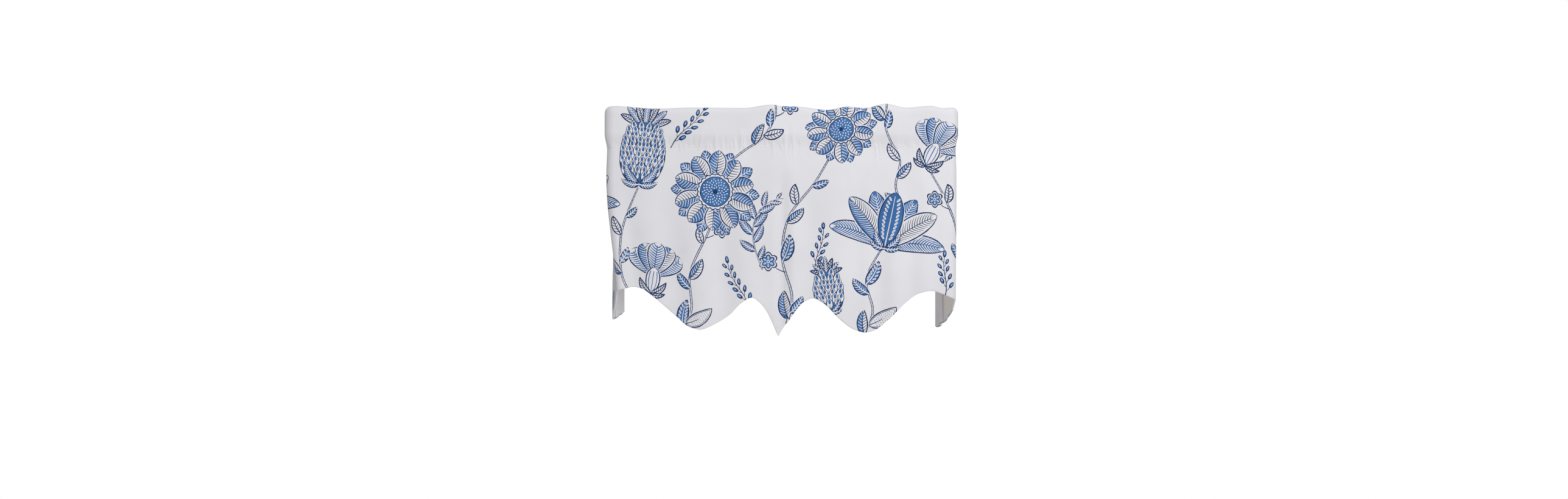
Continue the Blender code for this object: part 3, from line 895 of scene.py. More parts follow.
COARSE, MIDDLING, FINE = 0.014, 0.010, 0.0042  # longest edges in the panel, in the pocket and beside the stitching
FINE_ABOVE, FINE_BELOW = 0.024, 0.028  # how far the fine mesh reaches from the stitching
RIM_STEP = 0.004  # between points of the cut edge
TURN_STRETCH = 0.0044  # stretch past a wall edge where the cut edge has closer points
HEM_STEP = 0.0034  # between points of the lines where the cloth rolls at the hem
HEM_LINES_END = 0.012  # how far before a wall edge those lines end
TOP_LINES = (-0.0125, -0.009, -0.006, -0.003, 0.0, 0.003, 0.006, 0.009, 0.0125)  # how far down, on the round top
ALONG, UPRIGHT = 240, 70  # points of a line along the top and of an upright one
CLEAR = 0.0012  # how far from the cut edge upright lines end
GRID = (0.009, 0.011)  # run and drop between the points inside the cloth
GRID_SHIFT = 0.0002  # to the left and to the right in turn, so that no four of them are a rectangle
GRID_CLEAR = 0.003  # how far they stay from the cut edge
GRID_LOWEST = -0.44
LINING_GRID = (230, 52)  # columns and rows of points
INKS_MERGE, FOLDS_MERGE, REVERSE_MERGE = 0.04, 0.07, 0.0001  # millimetres within which two points are made one


def outline_of_the_cloth():
    """The cut cloth's outline, anticlockwise in (run, up) of the flat cloth."""
    turn = WALL_RUN + np.linspace(0, TURN_STRETCH, 4)
    across = np.linspace(-CLOTH_END, CLOTH_END, int(2 * CLOTH_END / RIM_STEP))
    across = np.unique(np.concatenate([across, [HEM_TIP], -turn, turn]))
    lower = np.stack([across, -edge_down(across)], axis=1)
    upper = np.stack([across[::-1], np.full(len(across), SEAM_DOWN)], axis=1)
    sides = []
    for run, foot in ((CLOTH_END, lower[-1, 1]), (-CLOTH_END, lower[0, 1])):
        up = np.linspace(foot, SEAM_DOWN, int((SEAM_DOWN - foot) / RIM_STEP))[1:-1]
        sides.append(np.stack([np.full(len(up), run), up], axis=1))
    return np.concatenate([lower, sides[0], upper, sides[1][::-1]])


def flat_area(loop):
    x, y = loop.T
    return 0.5 * float(np.sum(x * np.roll(y, -1) - np.roll(x, -1) * y))


def longest_edge(down):
    """How long an edge of the mesh may be this far down the cloth."""
    near_seam = (down > SEAM_DOWN - FINE_ABOVE) & (down < SEAM_DOWN + FINE_BELOW)
    in_pocket = np.abs(down) < SEAM_DOWN
    return np.where(near_seam, FINE, np.where(in_pocket, MIDDLING, COARSE))


def fold_lines():
    """Lines on the flat cloth where it bends sharply, which the mesh keeps as edges: rows of (run, up).

    Both faces need the same ones, because some of them cross the cut edge."""
    run = np.arange(-WALL_RUN + HEM_LINES_END, WALL_RUN - HEM_LINES_END, HEM_STEP)
    run = np.unique(np.concatenate([run, [HEM_TIP]]))
    rolls = TURN_RADIUS * np.linspace(0, HEM_TURN * 0.9, 4)
    lines = [np.stack([run, -hem_down(run) - roll], axis=1) for roll in rolls]
    along = np.linspace(-CLOTH_END + 0.0005, CLOTH_END - 0.0005, ALONG)
    lines += [np.stack([along, np.full(len(along), -down)], axis=1) for down in TOP_LINES]
    ends = np.cumsum(plan_pieces(np.ones(1), np.zeros(1))[0][0])
    corner = np.linspace(ends[1], ends[2], 6)
    turn = WALL_RUN + TURN_RADIUS * np.linspace(0, np.pi, 6)
    for side in (-1, 1):
        for place in np.concatenate([corner, turn]):
            lowest = edge_down(np.array([side * place]))[0] - CLEAR
            up = np.linspace(-lowest, SEAM_DOWN - CLEAR, UPRIGHT)
            lines.append(np.stack([np.full(len(up), side * place), up], axis=1))
    return lines


def sides_of(triangles):
    """The pairs of points that each side of the triangles joins: the first sides, the second ones, the third ones."""
    return np.concatenate([triangles[:, [0, 1]], triangles[:, [1, 2]], triangles[:, [2, 0]]])


def split_long_edges(points, triangles, marks, rounds=4, keep=None, slack=1.0):
    """Halves edges longer than longest_edge allows, times slack, and with them the triangles on either side.

    marks go with the triangles. keep says which points' edges to one another stay whole."""
    for _ in range(rounds):
        edges, where = np.unique(np.sort(sides_of(triangles), axis=1), axis=0, return_inverse=True)
        where = where.reshape(3, -1).T
        middle = (points[edges[:, 0]] + points[edges[:, 1]]) / 2
        length = np.linalg.norm(points[edges[:, 0]] - points[edges[:, 1]], axis=1)
        long = length > slack * longest_edge(-middle[:, 1])
        if keep is not None:
            long &= ~((edges[:, 0] < keep) & (edges[:, 1] < keep))
        if not long.any():
            break
        new = np.full(len(edges), -1)
        new[long] = len(points) + np.arange(long.sum())
        points = np.concatenate([points, middle[long]])
        halves = new[where]
        count = (halves >= 0).sum(axis=1)
        pieces, kept = [triangles[count == 0]], [marks[count == 0]]
        for turn in range(3):
            order = [(turn + i) % 3 for i in range(3)]
            a, b, c = triangles[:, order].T
            ab, bc, ca = halves[:, order].T
            one = (count == 1) & (ab >= 0)
            pieces += [np.stack([a, ab, c], 1)[one], np.stack([ab, b, c], 1)[one]]
            kept += [marks[one]] * 2
            two = (count == 2) & (ca < 0)
            pieces += [np.stack(rows, 1)[two] for rows in ((ab, b, bc), (a, ab, c), (ab, bc, c))]
            kept += [marks[two]] * 3
        three = count == 3
        a, b, c = triangles[three].T
        ab, bc, ca = halves[three].T
        pieces += [np.stack(rows, 1) for rows in ((a, ab, ca), (ab, b, bc), (ca, bc, c), (ab, bc, ca))]
        kept += [marks[three]] * 4
        triangles, marks = np.concatenate(pieces), np.concatenate(kept)
    return points, triangles, marks


def inside_outline(outline, x, y):
    """Which places an outline goes round, where it may cross itself."""
    winding = np.zeros(len(x), int)
    for (x0, y0), (x1, y1) in zip(outline, np.roll(outline, -1, axis=0)):
        left = (x1 - x0) * (y - y0) - (x - x0) * (y1 - y0)
        winding += (y0 <= y) & (y1 > y) & (left > 0)
        winding -= (y0 > y) & (y1 <= y) & (left < 0)
    return winding != 0


def as_edges(lines):
    """The points of these lines and the pairs of them that are joined. A line is (points, closed)."""
    points, edges = [], []
    for line, closed in lines:
        first = len(points)
        points += list(line)
        edges += [(i, i + 1) for i in range(first, len(points) - 1)]
        if closed:
            edges.append((len(points) - 1, first))
    return np.array(points), np.array(edges)


def triangulated(loop, shapes, points, edges, merge):
    """Points, triangles and inks of the flat cloth inside this loop, with the shapes printed on it in their order.

    points and edges are what the triangles keep, and points within merge millimetres of each other become one."""
    found = delaunay_2d_cdt([Vector(p) for p in points * 1000], edges.tolist(), [], 0, merge, False)
    corners = np.array([v[:] for v in found[0]]) / 1000
    triangles = np.array(found[2])
    centre = corners[triangles].mean(axis=1)
    kept = inside_outline(loop, *centre.T)
    triangles, centre = triangles[kept], centre[kept]
    order = np.argsort(centre[:, 0])
    triangles, (x, y) = triangles[order], centre[order].T
    inks = np.full(len(triangles), GROUND)
    for ink, outline in shapes:
        (left, low), (right, high) = outline.min(axis=0), outline.max(axis=0)
        first, last = np.searchsorted(x, (left, right))
        near = first + np.nonzero((y[first:last] > low) & (y[first:last] < high))[0]
        inks[near[inside_outline(outline, x[near], y[near])]] = ink
    used = np.unique(triangles)
    back = np.full(len(corners), -1)
    back[used] = np.arange(len(used))
    return corners[used], back[triangles], inks


def ink_borders(points, triangles, inks):
    """The points and edges that lie between two inks or round the cloth."""
    sides = np.sort(sides_of(triangles), axis=1)
    edges, where, count = np.unique(sides, axis=0, return_inverse=True, return_counts=True)
    ink = np.concatenate([inks] * 3)
    total = np.bincount(where.ravel(), weights=ink, minlength=len(edges))
    squares = np.bincount(where.ravel(), weights=ink * ink, minlength=len(edges))
    edges = edges[(count == 1) | (2 * squares != total * total)]
    used = np.unique(edges)
    back = np.full(len(points), -1)
    back[used] = np.arange(len(used))
    return points[used], back[edges]


def border(triangles):
    """The points round the edge of these triangles, in order, with the triangles to the left."""
    ends = sides_of(triangles)
    key = ends[:, 0] * (triangles.max() + 1) + ends[:, 1]
    other = ends[:, 1] * (triangles.max() + 1) + ends[:, 0]
    after = dict(ends[~np.isin(key, other)].tolist())
    loop = [min(after)]
    while after[loop[-1]] != loop[0]:
        loop.append(after[loop[-1]])
    if len(loop) != len(after):
        raise ValueError("the cloth's edge isn't one loop")
    return np.array(loop)


def grid_points():
    """Points spread over the inside of the cloth, every other one a little aside."""
    run = np.arange(-WALL_RUN - SIDE_HEM + GRID_CLEAR, WALL_RUN + SIDE_HEM, GRID[0])
    up = np.arange(GRID_LOWEST, SEAM_DOWN - GRID_CLEAR, GRID[1])
    run, up = (a.ravel() for a in np.meshgrid(run, up))
    run = run + np.where(np.arange(len(run)) % 2, GRID_SHIFT, -GRID_SHIFT)
    inside = -up < edge_down(run) - GRID_CLEAR
    return np.stack([run, up], axis=1)[inside]


def mesh_object(name, points, triangles, normals, material):
    mesh = bpy.data.meshes.new(name)
    mesh.from_pydata(points.tolist(), [], triangles.tolist())
    obj = bpy.data.objects.new(name, mesh)
    bpy.context.scene.collection.objects.link(obj)
    mesh.materials.append(material)
    mesh.shade_smooth()
    mesh.normals_split_custom_set_from_vertices(normals.tolist())
    return obj


def paint_faces(mesh, name, values):
    """A number for each triangle, kept on its corners."""
    layer = mesh.attributes.new(name, "FLOAT", "CORNER")
    layer.data.foreach_set("value", np.repeat(values, 3).astype(np.float32))


def unwrap(obj, triangles, flat, lower, heights):
    """Two maps: the weave's, in metres of flat cloth, and one to bake in, with some triangles low and the rest above.

    heights are the shares of the second map that the lower triangles and the others take."""
    corners = flat[triangles.ravel()]
    low, high = flat.min(axis=0), flat.max(axis=0)
    spread = (corners - low) / (high - low)
    below, above = heights
    in_lower = spread * (0.996, below) + 0.002
    baked = np.where(np.repeat(lower, 3)[:, None], in_lower, spread * (0.996, above) + (0.002, below + 0.010))
    for name, places in (("thread", corners), ("OFBake", baked)):
        layer = obj.data.uv_layers.new(name=name)
        layer.data.foreach_set("uv", places.astype(np.float32).ravel())
    obj.data.uv_layers.active = obj.data.uv_layers["thread"]
    return high - low


def away_from(surface, rim, middle, out):
    """Unit vectors in the cloth, away from it and square to its rim, at the rim's (run, up)."""
    ahead = np.roll(rim, -1, axis=0) - np.roll(rim, 1, axis=0)
    edge_out = np.stack([ahead[:, 1], -ahead[:, 0]], axis=1)
    edge_out /= np.linalg.norm(edge_out, axis=1, keepdims=True)
    within = rim - edge_out * PROBE
    away = middle - surface(within[:, 0], -within[:, 1])
    return as_unit(away - (away * out).sum(axis=1, keepdims=True) * out)


def joined(rings):
    """Triangles between each ring of points and the next."""
    strips = []
    for a, b in zip(rings, rings[1:]):
        a2, b2 = np.roll(a, -1), np.roll(b, -1)
        strips += [np.stack([a, b, b2], 1), np.stack([a, b2, a2], 1)]
    return strips


def face_points():
    """The printed face of the flat cloth: points, triangles and an ink for each triangle."""
    loop = outline_of_the_cloth()
    low, high = loop.min(axis=0), loop.max(axis=0)
    shapes = [(ink, outline / 1000) for ink, outline in draw_print().shapes]
    shapes = [s for s in shapes if (s[1].min(axis=0) < high).all() and (s[1].max(axis=0) > low).all()]
    # What later shapes hide is left out before the cloth gets its folds
    lines = as_edges([(loop, True)] + [(outline, True) for _, outline in shapes])
    points, edges = ink_borders(*triangulated(loop, shapes, *lines, INKS_MERGE))
    more, more_edges = as_edges([(line, False) for line in fold_lines()])
    edges = np.concatenate([edges, more_edges + len(points)])
    points = np.concatenate([points, more, grid_points()])
    return split_long_edges(*triangulated(loop, shapes, points, edges, FOLDS_MERGE))


def reverse_points(loop):
    """The plain reverse of the flat cloth, its points round the rim first, in their order: points and triangles."""
    points, edges = as_edges([(loop, True)] + [(line, False) for line in fold_lines()])
    points = np.concatenate([points, grid_points()])
    flat, triangles, marks = triangulated(loop, [], points, edges, REVERSE_MERGE)
    near = KDTree(len(flat))
    for index, (x, y) in enumerate(flat):
        near.insert((x, y, 0), index)
    near.balance()
    first = np.array([near.find((x, y, 0))[1] for x, y in loop])
    if len(set(first)) != len(loop) or len(border(triangles)) != len(loop):
        raise ValueError("the reverse doesn't meet the rim")
    order = np.concatenate([first, np.setdiff1d(np.arange(len(flat)), first)])
    moved = np.empty(len(flat), int)
    moved[order] = np.arange(len(flat))
    return split_long_edges(flat[order], moved[triangles], marks, rounds=3, keep=len(loop), slack=1.7)[:2]


def make_printed_cloth(cotton):
    """The printed cotton, with the size and area of the flat cloth."""
    face, triangles, inks = face_points()
    rim = border(triangles)
    run, up = face.T
    centre = hang(run, -up)
    out = directions(hang, run, -up)[2]

    reverse, reverse_triangles = reverse_points(face[rim])
    run, up = reverse.T
    reverse_out = directions(hang, run, -up)[2]

    # The rounded cut edge between them
    away = away_from(hang, face[rim], centre[rim], out[rim])
    round_normals = [math.cos(turn) * out[rim] + math.sin(turn) * away for turn in np.radians((60, 120))]
    rounds = [centre[rim] + normal * CLOTH / 2 for normal in round_normals]

    count, size = len(face), len(rim)
    starts = count + size * np.arange(3)
    rings = [rim] + [start + np.arange(size) for start in starts]
    faces = np.concatenate([triangles, *joined(rings), reverse_triangles[:, ::-1] + starts[2]])
    points = np.concatenate([centre + out * CLOTH / 2, *rounds, hang(run, -up) - reverse_out * CLOTH / 2])
    normals = np.concatenate([out, *round_normals, -reverse_out])
    obj = mesh_object("printed_cotton_cloth", points, faces, normals, cotton)
    printed = np.arange(len(faces)) < len(triangles)
    paint_faces(obj.data, "ink", np.concatenate([inks, np.zeros(len(faces) - len(triangles))]))
    paint_faces(obj.data, "printed side", printed)
    flat = np.concatenate([face, face[rim], face[rim], reverse])
    return obj, unwrap(obj, faces, flat, printed, (0.76, 0.226)), flat_area(face[rim])


def make_lining(lining):
    """A plain sheet behind the cotton, its edges inside the turns, with the area of the flat sheet."""
    end = WALL_RUN - LINING_EDGE
    columns, rows = LINING_GRID
    run = np.linspace(-end, end, columns)
    top, bottom = np.full(columns, POCKET - LINING_TUCK), hem_drop(run) - HEM_ROLL - LINING_EDGE
    drop = mix(top, bottom, np.linspace(0, 1, rows)[:, None]).ravel()
    run = np.tile(run, rows)

    def lay(run, drop):
        within = eased((WALL_RUN - SIDE_HEM * 0.9 - np.abs(run)) / SLACK_ASIDE)
        within = within * eased((drop - POCKET - 0.004) / SLACK_STARTS)
        within = within * eased((hem_drop(run) - drop - 0.008) / SLACK_STARTS)
        hung = LINING_SLACK * within * (1 + 0.5 * np.sin(run * 43) * np.sin(run * 17 + 1.3))
        stand = panel_stand(run, drop) + LINING_PUCKERS * pucker_height(run, drop)
        return placed(run, drop, stand - CLOTH / 2 - GAP - LINING / 2 - hung)

    out = directions(lay, run, drop)[2]
    middle = lay(run, drop)
    index = np.arange(rows * columns).reshape(rows, columns)
    corners = (index[:-1, :-1], index[1:, :-1], index[1:, 1:], index[:-1, 1:])
    quads = np.stack(corners, axis=-1).reshape(-1, 4)
    triangles = np.concatenate([quads[:, [0, 1, 2]], quads[:, [0, 2, 3]]])
    rim = border(triangles)
    size, count = len(rim), rows * columns
    grid = np.stack([run, -drop], axis=1)
    away = away_from(lay, grid[rim], middle[rim], out[rim])
    rings = [rim, count + np.arange(size), rim + count + size]
    faces = np.concatenate([triangles, *joined(rings), triangles[:, ::-1] + count + size])
    points = np.concatenate([middle + out * LINING / 2, middle[rim] + away * LINING / 2, middle - out * LINING / 2])
    obj = mesh_object("lining_cloth", points, faces, np.concatenate([out, away, -out]), lining)
    flat = np.concatenate([grid, grid[rim], grid])
    unwrap(obj, faces, flat, np.arange(len(faces)) >= len(faces) - len(triangles), (0.60, 0.38))
    return obj, flat_area(grid[rim])


# ---------------------------------------------------------------- node trees


class Nodes:
    """Short names for building a node tree."""

    def __init__(self, tree):
        self.tree = tree

    def node(self, kind, given=None, **settings):
        """A node with these settings, and with what its inputs are given: values or links."""
        made = self.tree.nodes.new(kind)
        for name, value in settings.items():
            setattr(made, name, value)
        for name, value in (given or {}).items():
            self.put(made.inputs[name], value)
        return made

    def put(self, socket, value):
        if isinstance(value, bpy.types.NodeSocket):
            self.tree.links.new(value, socket)
        else:
            socket.default_value = value

    def maths(self, operation, *values, clamp=False):
        return self.node("ShaderNodeMath", dict(enumerate(values)), operation=operation, use_clamp=clamp).outputs[0]

    def blend(self, share, first, second, way="MIX"):
        given = {0: share, 6: first, 7: second}
        return self.node("ShaderNodeMix", given, data_type="RGBA", blend_type=way).outputs[2]

    def tinted(self, colour, share, dark, light):
        """The colour, shaded by one that goes from dark to light with share."""
        return self.blend(1.0, colour, self.blend(share, dark, light), "MULTIPLY")

    def noise(self, vector, scale, detail=2.0, roughness=0.5):
        given = {"Vector": vector, "Scale": scale, "Detail": detail, "Roughness": roughness}
        return self.node("ShaderNodeTexNoise", given).outputs["Fac"]

    def ramp(self, value, low, high):
        """0 at low and 1 at high, without a corner at either end."""
        given = {"Value": value, "From Min": low, "From Max": high}
        return self.node("ShaderNodeMapRange", given, clamp=True, interpolation_type="SMOOTHSTEP").outputs["Result"]


def new_group(name, inputs, outputs, kind="ShaderNodeTree"):
    """The nodes of a new group, what it is given and what it gives back."""
    tree = bpy.data.node_groups.new(name, kind)
    for label, socket_type, value in inputs:
        socket = tree.interface.new_socket(label, in_out="INPUT", socket_type=socket_type)
        if value is not None:
            socket.default_value = value
    for label, socket_type in outputs:
        tree.interface.new_socket(label, in_out="OUTPUT", socket_type=socket_type)
    return Nodes(tree), tree.nodes.new("NodeGroupInput").outputs, tree.nodes.new("NodeGroupOutput").inputs


# ---------------------------------------------------------------- sewing

STITCH_RISE = 0.00005  # how far the middle of a stitch lies off the cloth
BACK_INSET = 0.0022  # from the sewn edge of the pocket's back to its stitches
SIDE_INSET = 0.0026  # and from the cut end of a side hem
SIDE_STRETCH = (0.008, 0.30)  # how far below the pocket's stitching those of a side hem begin and end
POCKET_STITCH = (0.0031, 0.0024, 0.00046)  # from one to the next, length and thread width
SIDE_STITCH = (0.0075, 0.0016, 0.00042)


def stitch_group():
    """Short threads lying on the cloth: a drawn-out ball at each point, turned along the seam and out of the cloth."""
    s, given, result = new_group(
        "running stitches",
        [
            ("Geometry", "NodeSocketGeometry", None),
            ("Stitch length", "NodeSocketFloat", 0.0022),
            ("Thread width", "NodeSocketFloat", 0.00042),
            ("Unevenness", "NodeSocketFloat", 0.12),
            ("Seed", "NodeSocketInt", 3),
            ("Material", "NodeSocketMaterial", None),
        ],
        [("Geometry", "NodeSocketGeometry")],
        "GeometryNodeTree",
    )
    ball = s.node("GeometryNodeMeshUVSphere", {"Segments": 6, "Rings": 5, "Radius": 0.5})
    along, out = (
        s.node("GeometryNodeInputNamedAttribute", {"Name": name}, data_type="FLOAT_VECTOR") for name in ("along", "out")
    )
    turn = s.node("FunctionNodeAlignRotationToVector", {"Vector": along.outputs[0]}, axis="X")
    lie = {"Rotation": turn.outputs[0], "Vector": out.outputs[0]}
    tip = s.node("FunctionNodeAlignRotationToVector", lie, axis="Z", pivot_axis="X")
    shortest, longest = (s.maths(way, 1.0, given["Unevenness"]) for way in ("SUBTRACT", "ADD"))
    vary = s.node("FunctionNodeRandomValue", {2: shortest, 3: longest, "Seed": given["Seed"]})
    long = s.maths("MULTIPLY", vary.outputs[1], given["Stitch length"])
    size = s.node("ShaderNodeCombineXYZ", {"X": long, "Y": given["Thread width"], "Z": given["Thread width"]})
    instances = {
        "Points": given["Geometry"],
        "Instance": ball.outputs["Mesh"],
        "Rotation": tip.outputs[0],
        "Scale": size.outputs[0],
    }
    real = s.node("GeometryNodeRealizeInstances", {0: s.node("GeometryNodeInstanceOnPoints", instances).outputs[0]})
    smooth = s.node("GeometryNodeSetShadeSmooth", {0: real.outputs[0]})
    paint = s.node("GeometryNodeSetMaterial", {"Geometry": smooth.outputs[0], "Material": given["Material"]})
    s.put(result[0], paint.outputs[0])
    return s.tree


def seam_places(run, down):
    """Where stitches lie on the printed face: places, directions along the seam and out of the cloth."""
    out = directions(hang, run, down)[2]
    places = hang(run, down) + out * (CLOTH / 2 + STITCH_RISE)
    return places, as_unit(np.gradient(places, axis=0)), out


def make_stitches(name, seams, group, thread, length, width):
    """One piece with a stitch at each of these seams' places."""
    places, line, out = (np.concatenate(part) for part in zip(*seams))
    mesh = bpy.data.meshes.new(name + "_points")
    mesh.from_pydata(places.tolist(), [], [])
    for label, values in (("along", line), ("out", out)):
        layer = mesh.attributes.new(label, "FLOAT_VECTOR", "POINT")
        layer.data.foreach_set("vector", values.astype(np.float32).ravel())
    points = bpy.data.objects.new(name + "_points", mesh)
    bpy.context.scene.collection.objects.link(points)
    modifier = points.modifiers.new("stitches", "NODES")
    modifier.node_group = group
    sockets = {item.name: item.identifier for item in group.interface.items_tree if item.in_out == "INPUT"}
    modifier[sockets["Stitch length"]] = length
    modifier[sockets["Thread width"]] = width
    modifier[sockets["Material"]] = thread
    graph = bpy.context.evaluated_depsgraph_get()
    made = bpy.data.meshes.new_from_object(points.evaluated_get(graph), preserve_all_data_layers=True, depsgraph=graph)
    bpy.data.objects.remove(points)
    made.name = name
    obj = bpy.data.objects.new(name, made)
    bpy.context.scene.collection.objects.link(obj)
    return obj


def make_sewing(thread):
    group = stitch_group()
    pitch, *size = POCKET_STITCH
    run = np.arange(-WALL_RUN + 0.002, WALL_RUN - 0.002, pitch)
    seams = [seam_places(run, np.full(len(run), down)) for down in (SEAM_DOWN, -SEAM_DOWN + BACK_INSET)]
    pocket = make_stitches("pocket_stitching", seams, group, thread, *size)
    pitch, *size = SIDE_STITCH
    down = np.arange(SEAM_DOWN + SIDE_STRETCH[0], SEAM_DOWN + SIDE_STRETCH[1], pitch)
    seams = [seam_places(np.full(len(down), side * (CLOTH_END - SIDE_INSET)), down) for side in (-1, 1)]
    return pocket, make_stitches("side_hem_stitches", seams, group, thread, *size)


# ---------------------------------------------------------------- colours and finishes


def linear(red, green, blue):
    """A colour for a shader from its 0 to 255 screen values."""
    parts = (channel / 255 for channel in (red, green, blue))
    return (*((p / 12.92 if p <= 0.04045 else ((p + 0.055) / 1.055) ** 2.4) for p in parts), 1.0)


GROUND_COLOUR = linear(226, 225, 229)
BLUE_COLOUR = linear(56, 108, 168)
NAVY_COLOUR = linear(18, 50, 98)
LINING_COLOUR = linear(238, 232, 228)
REVERSE_COLOUR = linear(206, 206, 213)
THREAD_COLOUR = linear(232, 230, 228)
THREAD_SHADE_COLOUR = linear(214, 212, 212)
THREAD_PITCH = 0.00062  # of the cotton's weave


def plain_weave_group():
    """Warp over weft over warp, with slubs: its height, and a share for painted shade in the colour, low in the hollows
    between threads and high on their crowns.
    """
    s, given, result = new_group(
        "plain weave",
        [
            ("Vector", "NodeSocketVector", None),
            ("Pitch", "NodeSocketFloat", THREAD_PITCH),
            ("Slubs", "NodeSocketFloat", 0.5),
        ],
        [("Height", "NodeSocketFloat"), ("Shade", "NodeSocketFloat")],
    )
    parts = s.node("ShaderNodeSeparateXYZ", {0: given["Vector"]})
    wobble = s.noise(given["Vector"], 260.0, 1.0)
    x, y = (
        s.maths("ADD", s.maths("DIVIDE", parts.outputs[i], given["Pitch"]), s.maths("MULTIPLY", wobble, share))
        for i, share in ((0, 0.9), (1, 0.7))
    )
    warp_over = s.maths("FLOORED_MODULO", s.maths("ADD", s.maths("FLOOR", x), s.maths("FLOOR", y)), 2.0)
    across_warp, across_weft = (s.maths("SINE", s.maths("MULTIPLY", s.maths("FRACT", p), math.pi)) for p in (x, y))
    warp = s.maths("MULTIPLY", across_warp, s.maths("MULTIPLY_ADD", across_weft, 0.45, 0.55))
    weft = s.maths("MULTIPLY", across_weft, s.maths("MULTIPLY_ADD", across_warp, 0.45, 0.55))
    weft_seen = s.maths("MULTIPLY", weft, s.maths("SUBTRACT", 1.0, warp_over))
    height = s.maths("ADD", s.maths("MULTIPLY", warp, warp_over), weft_seen)
    weft_slub, warp_slub = (
        s.ramp(s.noise(s.node("ShaderNodeMapping", {"Vector": given["Vector"], "Scale": scale}).outputs[0], 1.0), *ends)
        for scale, ends in (((34.0, 900.0, 1.0), (0.56, 0.80)), ((900.0, 26.0, 1.0), (0.58, 0.82)))
    )
    slub = s.maths("MULTIPLY", s.maths("ADD", weft_slub, warp_slub), given["Slubs"])
    s.put(result["Height"], s.maths("ADD", height, slub))
    # Painted shade: this share is 0 down in the hollows between threads and 1 on their crowns, for darkening the colour
    # in the hollows
    s.put(result["Shade"], s.ramp(height, 0.0, 0.75))
    return s.tree


def block_print_group():
    """Colour of the printed face: which ink lies on it, its thin places and how unevenly it took."""
    s, given, result = new_group(
        "block print",
        [
            ("Ink", "NodeSocketFloat", 0.0),
            ("Vector", "NodeSocketVector", None),
            ("Ground", "NodeSocketColor", GROUND_COLOUR),
            ("Blue", "NodeSocketColor", BLUE_COLOUR),
            ("Navy", "NodeSocketColor", NAVY_COLOUR),
            ("Wear", "NodeSocketFloat", 0.5),
        ],
        [("Colour", "NodeSocketColor"), ("Inked", "NodeSocketFloat")],
    )
    blue = s.maths("COMPARE", given["Ink"], float(BLUE), 0.4)
    navy = s.maths("COMPARE", given["Ink"], float(NAVY), 0.4)
    cloudy = s.noise(given["Vector"], 22.0, 3.0, 0.6)
    fine = s.noise(given["Vector"], 620.0, 2.0, 0.7)
    specks = s.ramp(s.maths("ADD", fine, s.maths("MULTIPLY", s.maths("SUBTRACT", cloudy, 0.5), 0.30)), 0.60, 0.76)
    thin = s.maths("MULTIPLY", specks, s.maths("MULTIPLY", given["Wear"], 0.8), clamp=True)
    lighter = s.blend(s.ramp(cloudy, 0.35, 0.72), (0.86, 0.87, 0.90, 1), (1.16, 1.14, 1.10, 1))
    blue_ink = s.blend(1.0, given["Blue"], lighter, "MULTIPLY")
    colour = s.blend(blue, given["Ground"], s.blend(s.maths("MULTIPLY", thin, 0.75), blue_ink, given["Ground"]))
    colour = s.blend(navy, colour, s.blend(s.maths("MULTIPLY", thin, 0.32), given["Navy"], given["Blue"]))
    s.put(result["Colour"], colour)
    s.put(result["Inked"], s.maths("ADD", blue, navy))
    return s.tree


def material(name):
    """A new material, the nodes of its tree and the inputs of its shader."""
    made = bpy.data.materials.new(name)
    made.use_nodes = True
    return made, Nodes(made.node_tree), made.node_tree.nodes["Principled BSDF"].inputs


def woven(s, tree, **given):
    """Where on the flat cloth a point lies, and what the weave group makes of it."""
    threads = s.node("ShaderNodeUVMap", uv_map="thread").outputs[0]
    return threads, s.node("ShaderNodeGroup", {"Vector": threads, **given}, node_tree=tree).outputs


def bumped(s, height, distance):
    return s.node("ShaderNodeBump", {"Strength": 0.6, "Distance": distance, "Height": height}).outputs["Normal"]


def printed_cotton_material(weave, block_print):
    made, s, skin = material("printed_cotton")
    threads, cloth = woven(s, weave, Slubs=0.35)
    ink, side = (
        s.node("ShaderNodeAttribute", attribute_name=name).outputs["Fac"] for name in ("ink", "printed side")
    )
    printed = s.node("ShaderNodeGroup", {"Ink": ink, "Vector": threads}, node_tree=block_print).outputs
    colour = s.blend(side, REVERSE_COLOUR, printed["Colour"])
    # Painted shade: the colour is darkened to 0.9 in the hollows between threads and lifted a little on their crowns
    colour = s.tinted(colour, cloth["Shade"], (0.90, 0.90, 0.905, 1), (1.02, 1.02, 1.02, 1))
    cloud = s.ramp(s.noise(threads, 9.0), 0.3, 0.7)
    s.put(skin["Base Color"], s.tinted(colour, cloud, (0.975, 0.975, 0.98, 1), (1.02, 1.02, 1.015, 1)))
    s.put(skin["Roughness"], s.maths("MULTIPLY_ADD", printed["Inked"], -0.05, 0.88))
    skin["Sheen Weight"].default_value = 0.12
    skin["Sheen Roughness"].default_value = 0.5
    skin["Specular IOR Level"].default_value = 0.25
    s.put(skin["Normal"], bumped(s, cloth["Height"], 0.00010))
    return made


def lining_cotton_material(weave):
    made, s, skin = material("lining_cotton")
    threads, cloth = woven(s, weave, Pitch=0.00078, Slubs=0.6)
    # Painted shade: the colour is darkened to 0.88 in the hollows between threads and lifted a little on their crowns
    colour = s.tinted(LINING_COLOUR, cloth["Shade"], (0.88, 0.88, 0.875, 1), (1.02, 1.02, 1.02, 1))
    cloud = s.ramp(s.noise(threads, 7.0, 3.0), 0.3, 0.7)
    s.put(skin["Base Color"], s.tinted(colour, cloud, (0.96, 0.955, 0.95, 1), (1.03, 1.03, 1.03, 1)))
    skin["Roughness"].default_value = 0.92
    skin["Sheen Weight"].default_value = 0.10
    skin["Specular IOR Level"].default_value = 0.2
    s.put(skin["Normal"], bumped(s, cloth["Height"], 0.00012))
    return made


def sewing_thread_material():
    made, s, skin = material("sewing_thread")
    twist = s.noise(s.node("ShaderNodeTexCoord").outputs["Object"], 2600.0, 1.0)
    s.put(skin["Base Color"], s.blend(twist, THREAD_SHADE_COLOUR, THREAD_COLOUR))
    skin["Roughness"].default_value = 0.6
    return made


# ---------------------------------------------------------------- the room

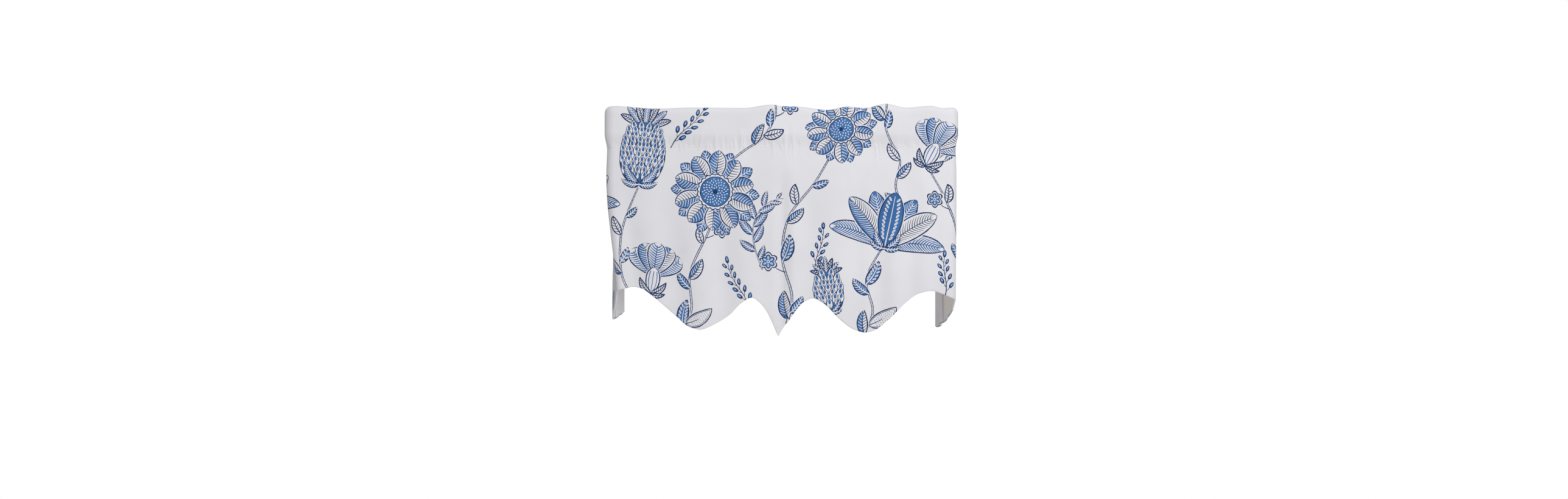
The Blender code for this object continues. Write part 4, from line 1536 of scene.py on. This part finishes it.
LIGHTS = (  # name, place, the point it faces, width and height, watts
    ("window_light", (0.85, -2.4, 0.3), (0, 0, -0.27), (1.6, 1.2), 37),
    ("ceiling_light", (0.2, -0.8, 1.7), (0, 0.05, -0.3), (2.0, 1.2), 12),
    ("wall_light", (0.2, 2.2, 0.7), (0, 0.1, -0.25), (2.0, 1.4), 18),
)
FLOOR_RADIUS, FLOOR_LEVEL = 1.75, -1.5
CAMERA_PLACE = (0.005, -1.15, -0.2695)
CAMERA_WIDTH = 36  # of its sensor, in millimetres
CAMERA_LENS = CAMERA_WIDTH * 1002.6 / 2576


def area_light(name, place, faced, size, watts):
    lamp = bpy.data.lights.new(name, "AREA")
    lamp.shape = "RECTANGLE"
    lamp.size, lamp.size_y = size
    lamp.energy = watts
    obj = bpy.data.objects.new(name, lamp)
    bpy.context.scene.collection.objects.link(obj)
    obj.location = place
    obj.rotation_euler = (Vector(faced) - Vector(place)).to_track_quat("-Z", "Y").to_euler()
    obj.visible_camera = False


def light_the_room():
    """Three soft lights and a pale sky, which the camera sees as plain white."""
    for light in LIGHTS:
        area_light(*light)
    world = bpy.data.worlds.new("pale_room")
    bpy.context.scene.world = world
    world.use_nodes = True
    s = Nodes(world.node_tree)
    sky = world.node_tree.nodes["Background"]
    sky.inputs["Color"].default_value = (0.98, 0.985, 1.0, 1)
    sky.inputs["Strength"].default_value = 0.38
    white = s.node("ShaderNodeBackground", {"Color": (1, 1, 1, 1), "Strength": 1.0})
    seen = s.node("ShaderNodeLightPath").outputs["Is Camera Ray"]
    choose = s.node("ShaderNodeMixShader", {0: seen, 1: sky.outputs[0], 2: white.outputs[0]})
    s.put(world.node_tree.nodes["World Output"].inputs["Surface"], choose.outputs[0])


def lay_the_floor():
    mesh = bpy.data.meshes.new("floor")
    turns = np.radians(np.arange(0, 360, 5))
    corners = [(FLOOR_RADIUS * math.cos(t), FLOOR_RADIUS * math.sin(t), FLOOR_LEVEL) for t in turns]
    mesh.from_pydata(corners, [], [tuple(range(len(turns)))])
    floor = bpy.data.objects.new("floor", mesh)
    bpy.context.scene.collection.objects.link(floor)
    made, _, skin = material("pale_floor")
    skin["Base Color"].default_value = linear(236, 235, 233)
    skin["Roughness"].default_value = 0.9
    mesh.materials.append(made)


def set_the_camera():
    lens = bpy.data.cameras.new("camera")
    lens.sensor_width = CAMERA_WIDTH
    lens.lens = CAMERA_LENS
    lens.clip_start = 0.02
    camera = bpy.data.objects.new("camera", lens)
    bpy.context.scene.collection.objects.link(camera)
    camera.location = CAMERA_PLACE
    camera.rotation_euler = (math.pi / 2, 0, 0)
    bpy.context.scene.camera = camera


def main():
    weave = plain_weave_group()
    cotton = printed_cotton_material(weave, block_print_group())
    lining_finish = lining_cotton_material(weave)
    thread = sewing_thread_material()
    cloth, cloth_size, cloth_area = make_printed_cloth(cotton)
    lining, lining_area = make_lining(lining_finish)
    pocket_stitching, hem_stitches = make_sewing(thread)
    for piece in (cloth, lining, pocket_stitching, hem_stitches):
        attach(piece, "root")
    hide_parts("printed_cloth")
    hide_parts("lining")
    light_the_room()
    lay_the_floor()
    set_the_camera()
    bpy.context.scene.view_settings.view_transform = "Standard"


main()
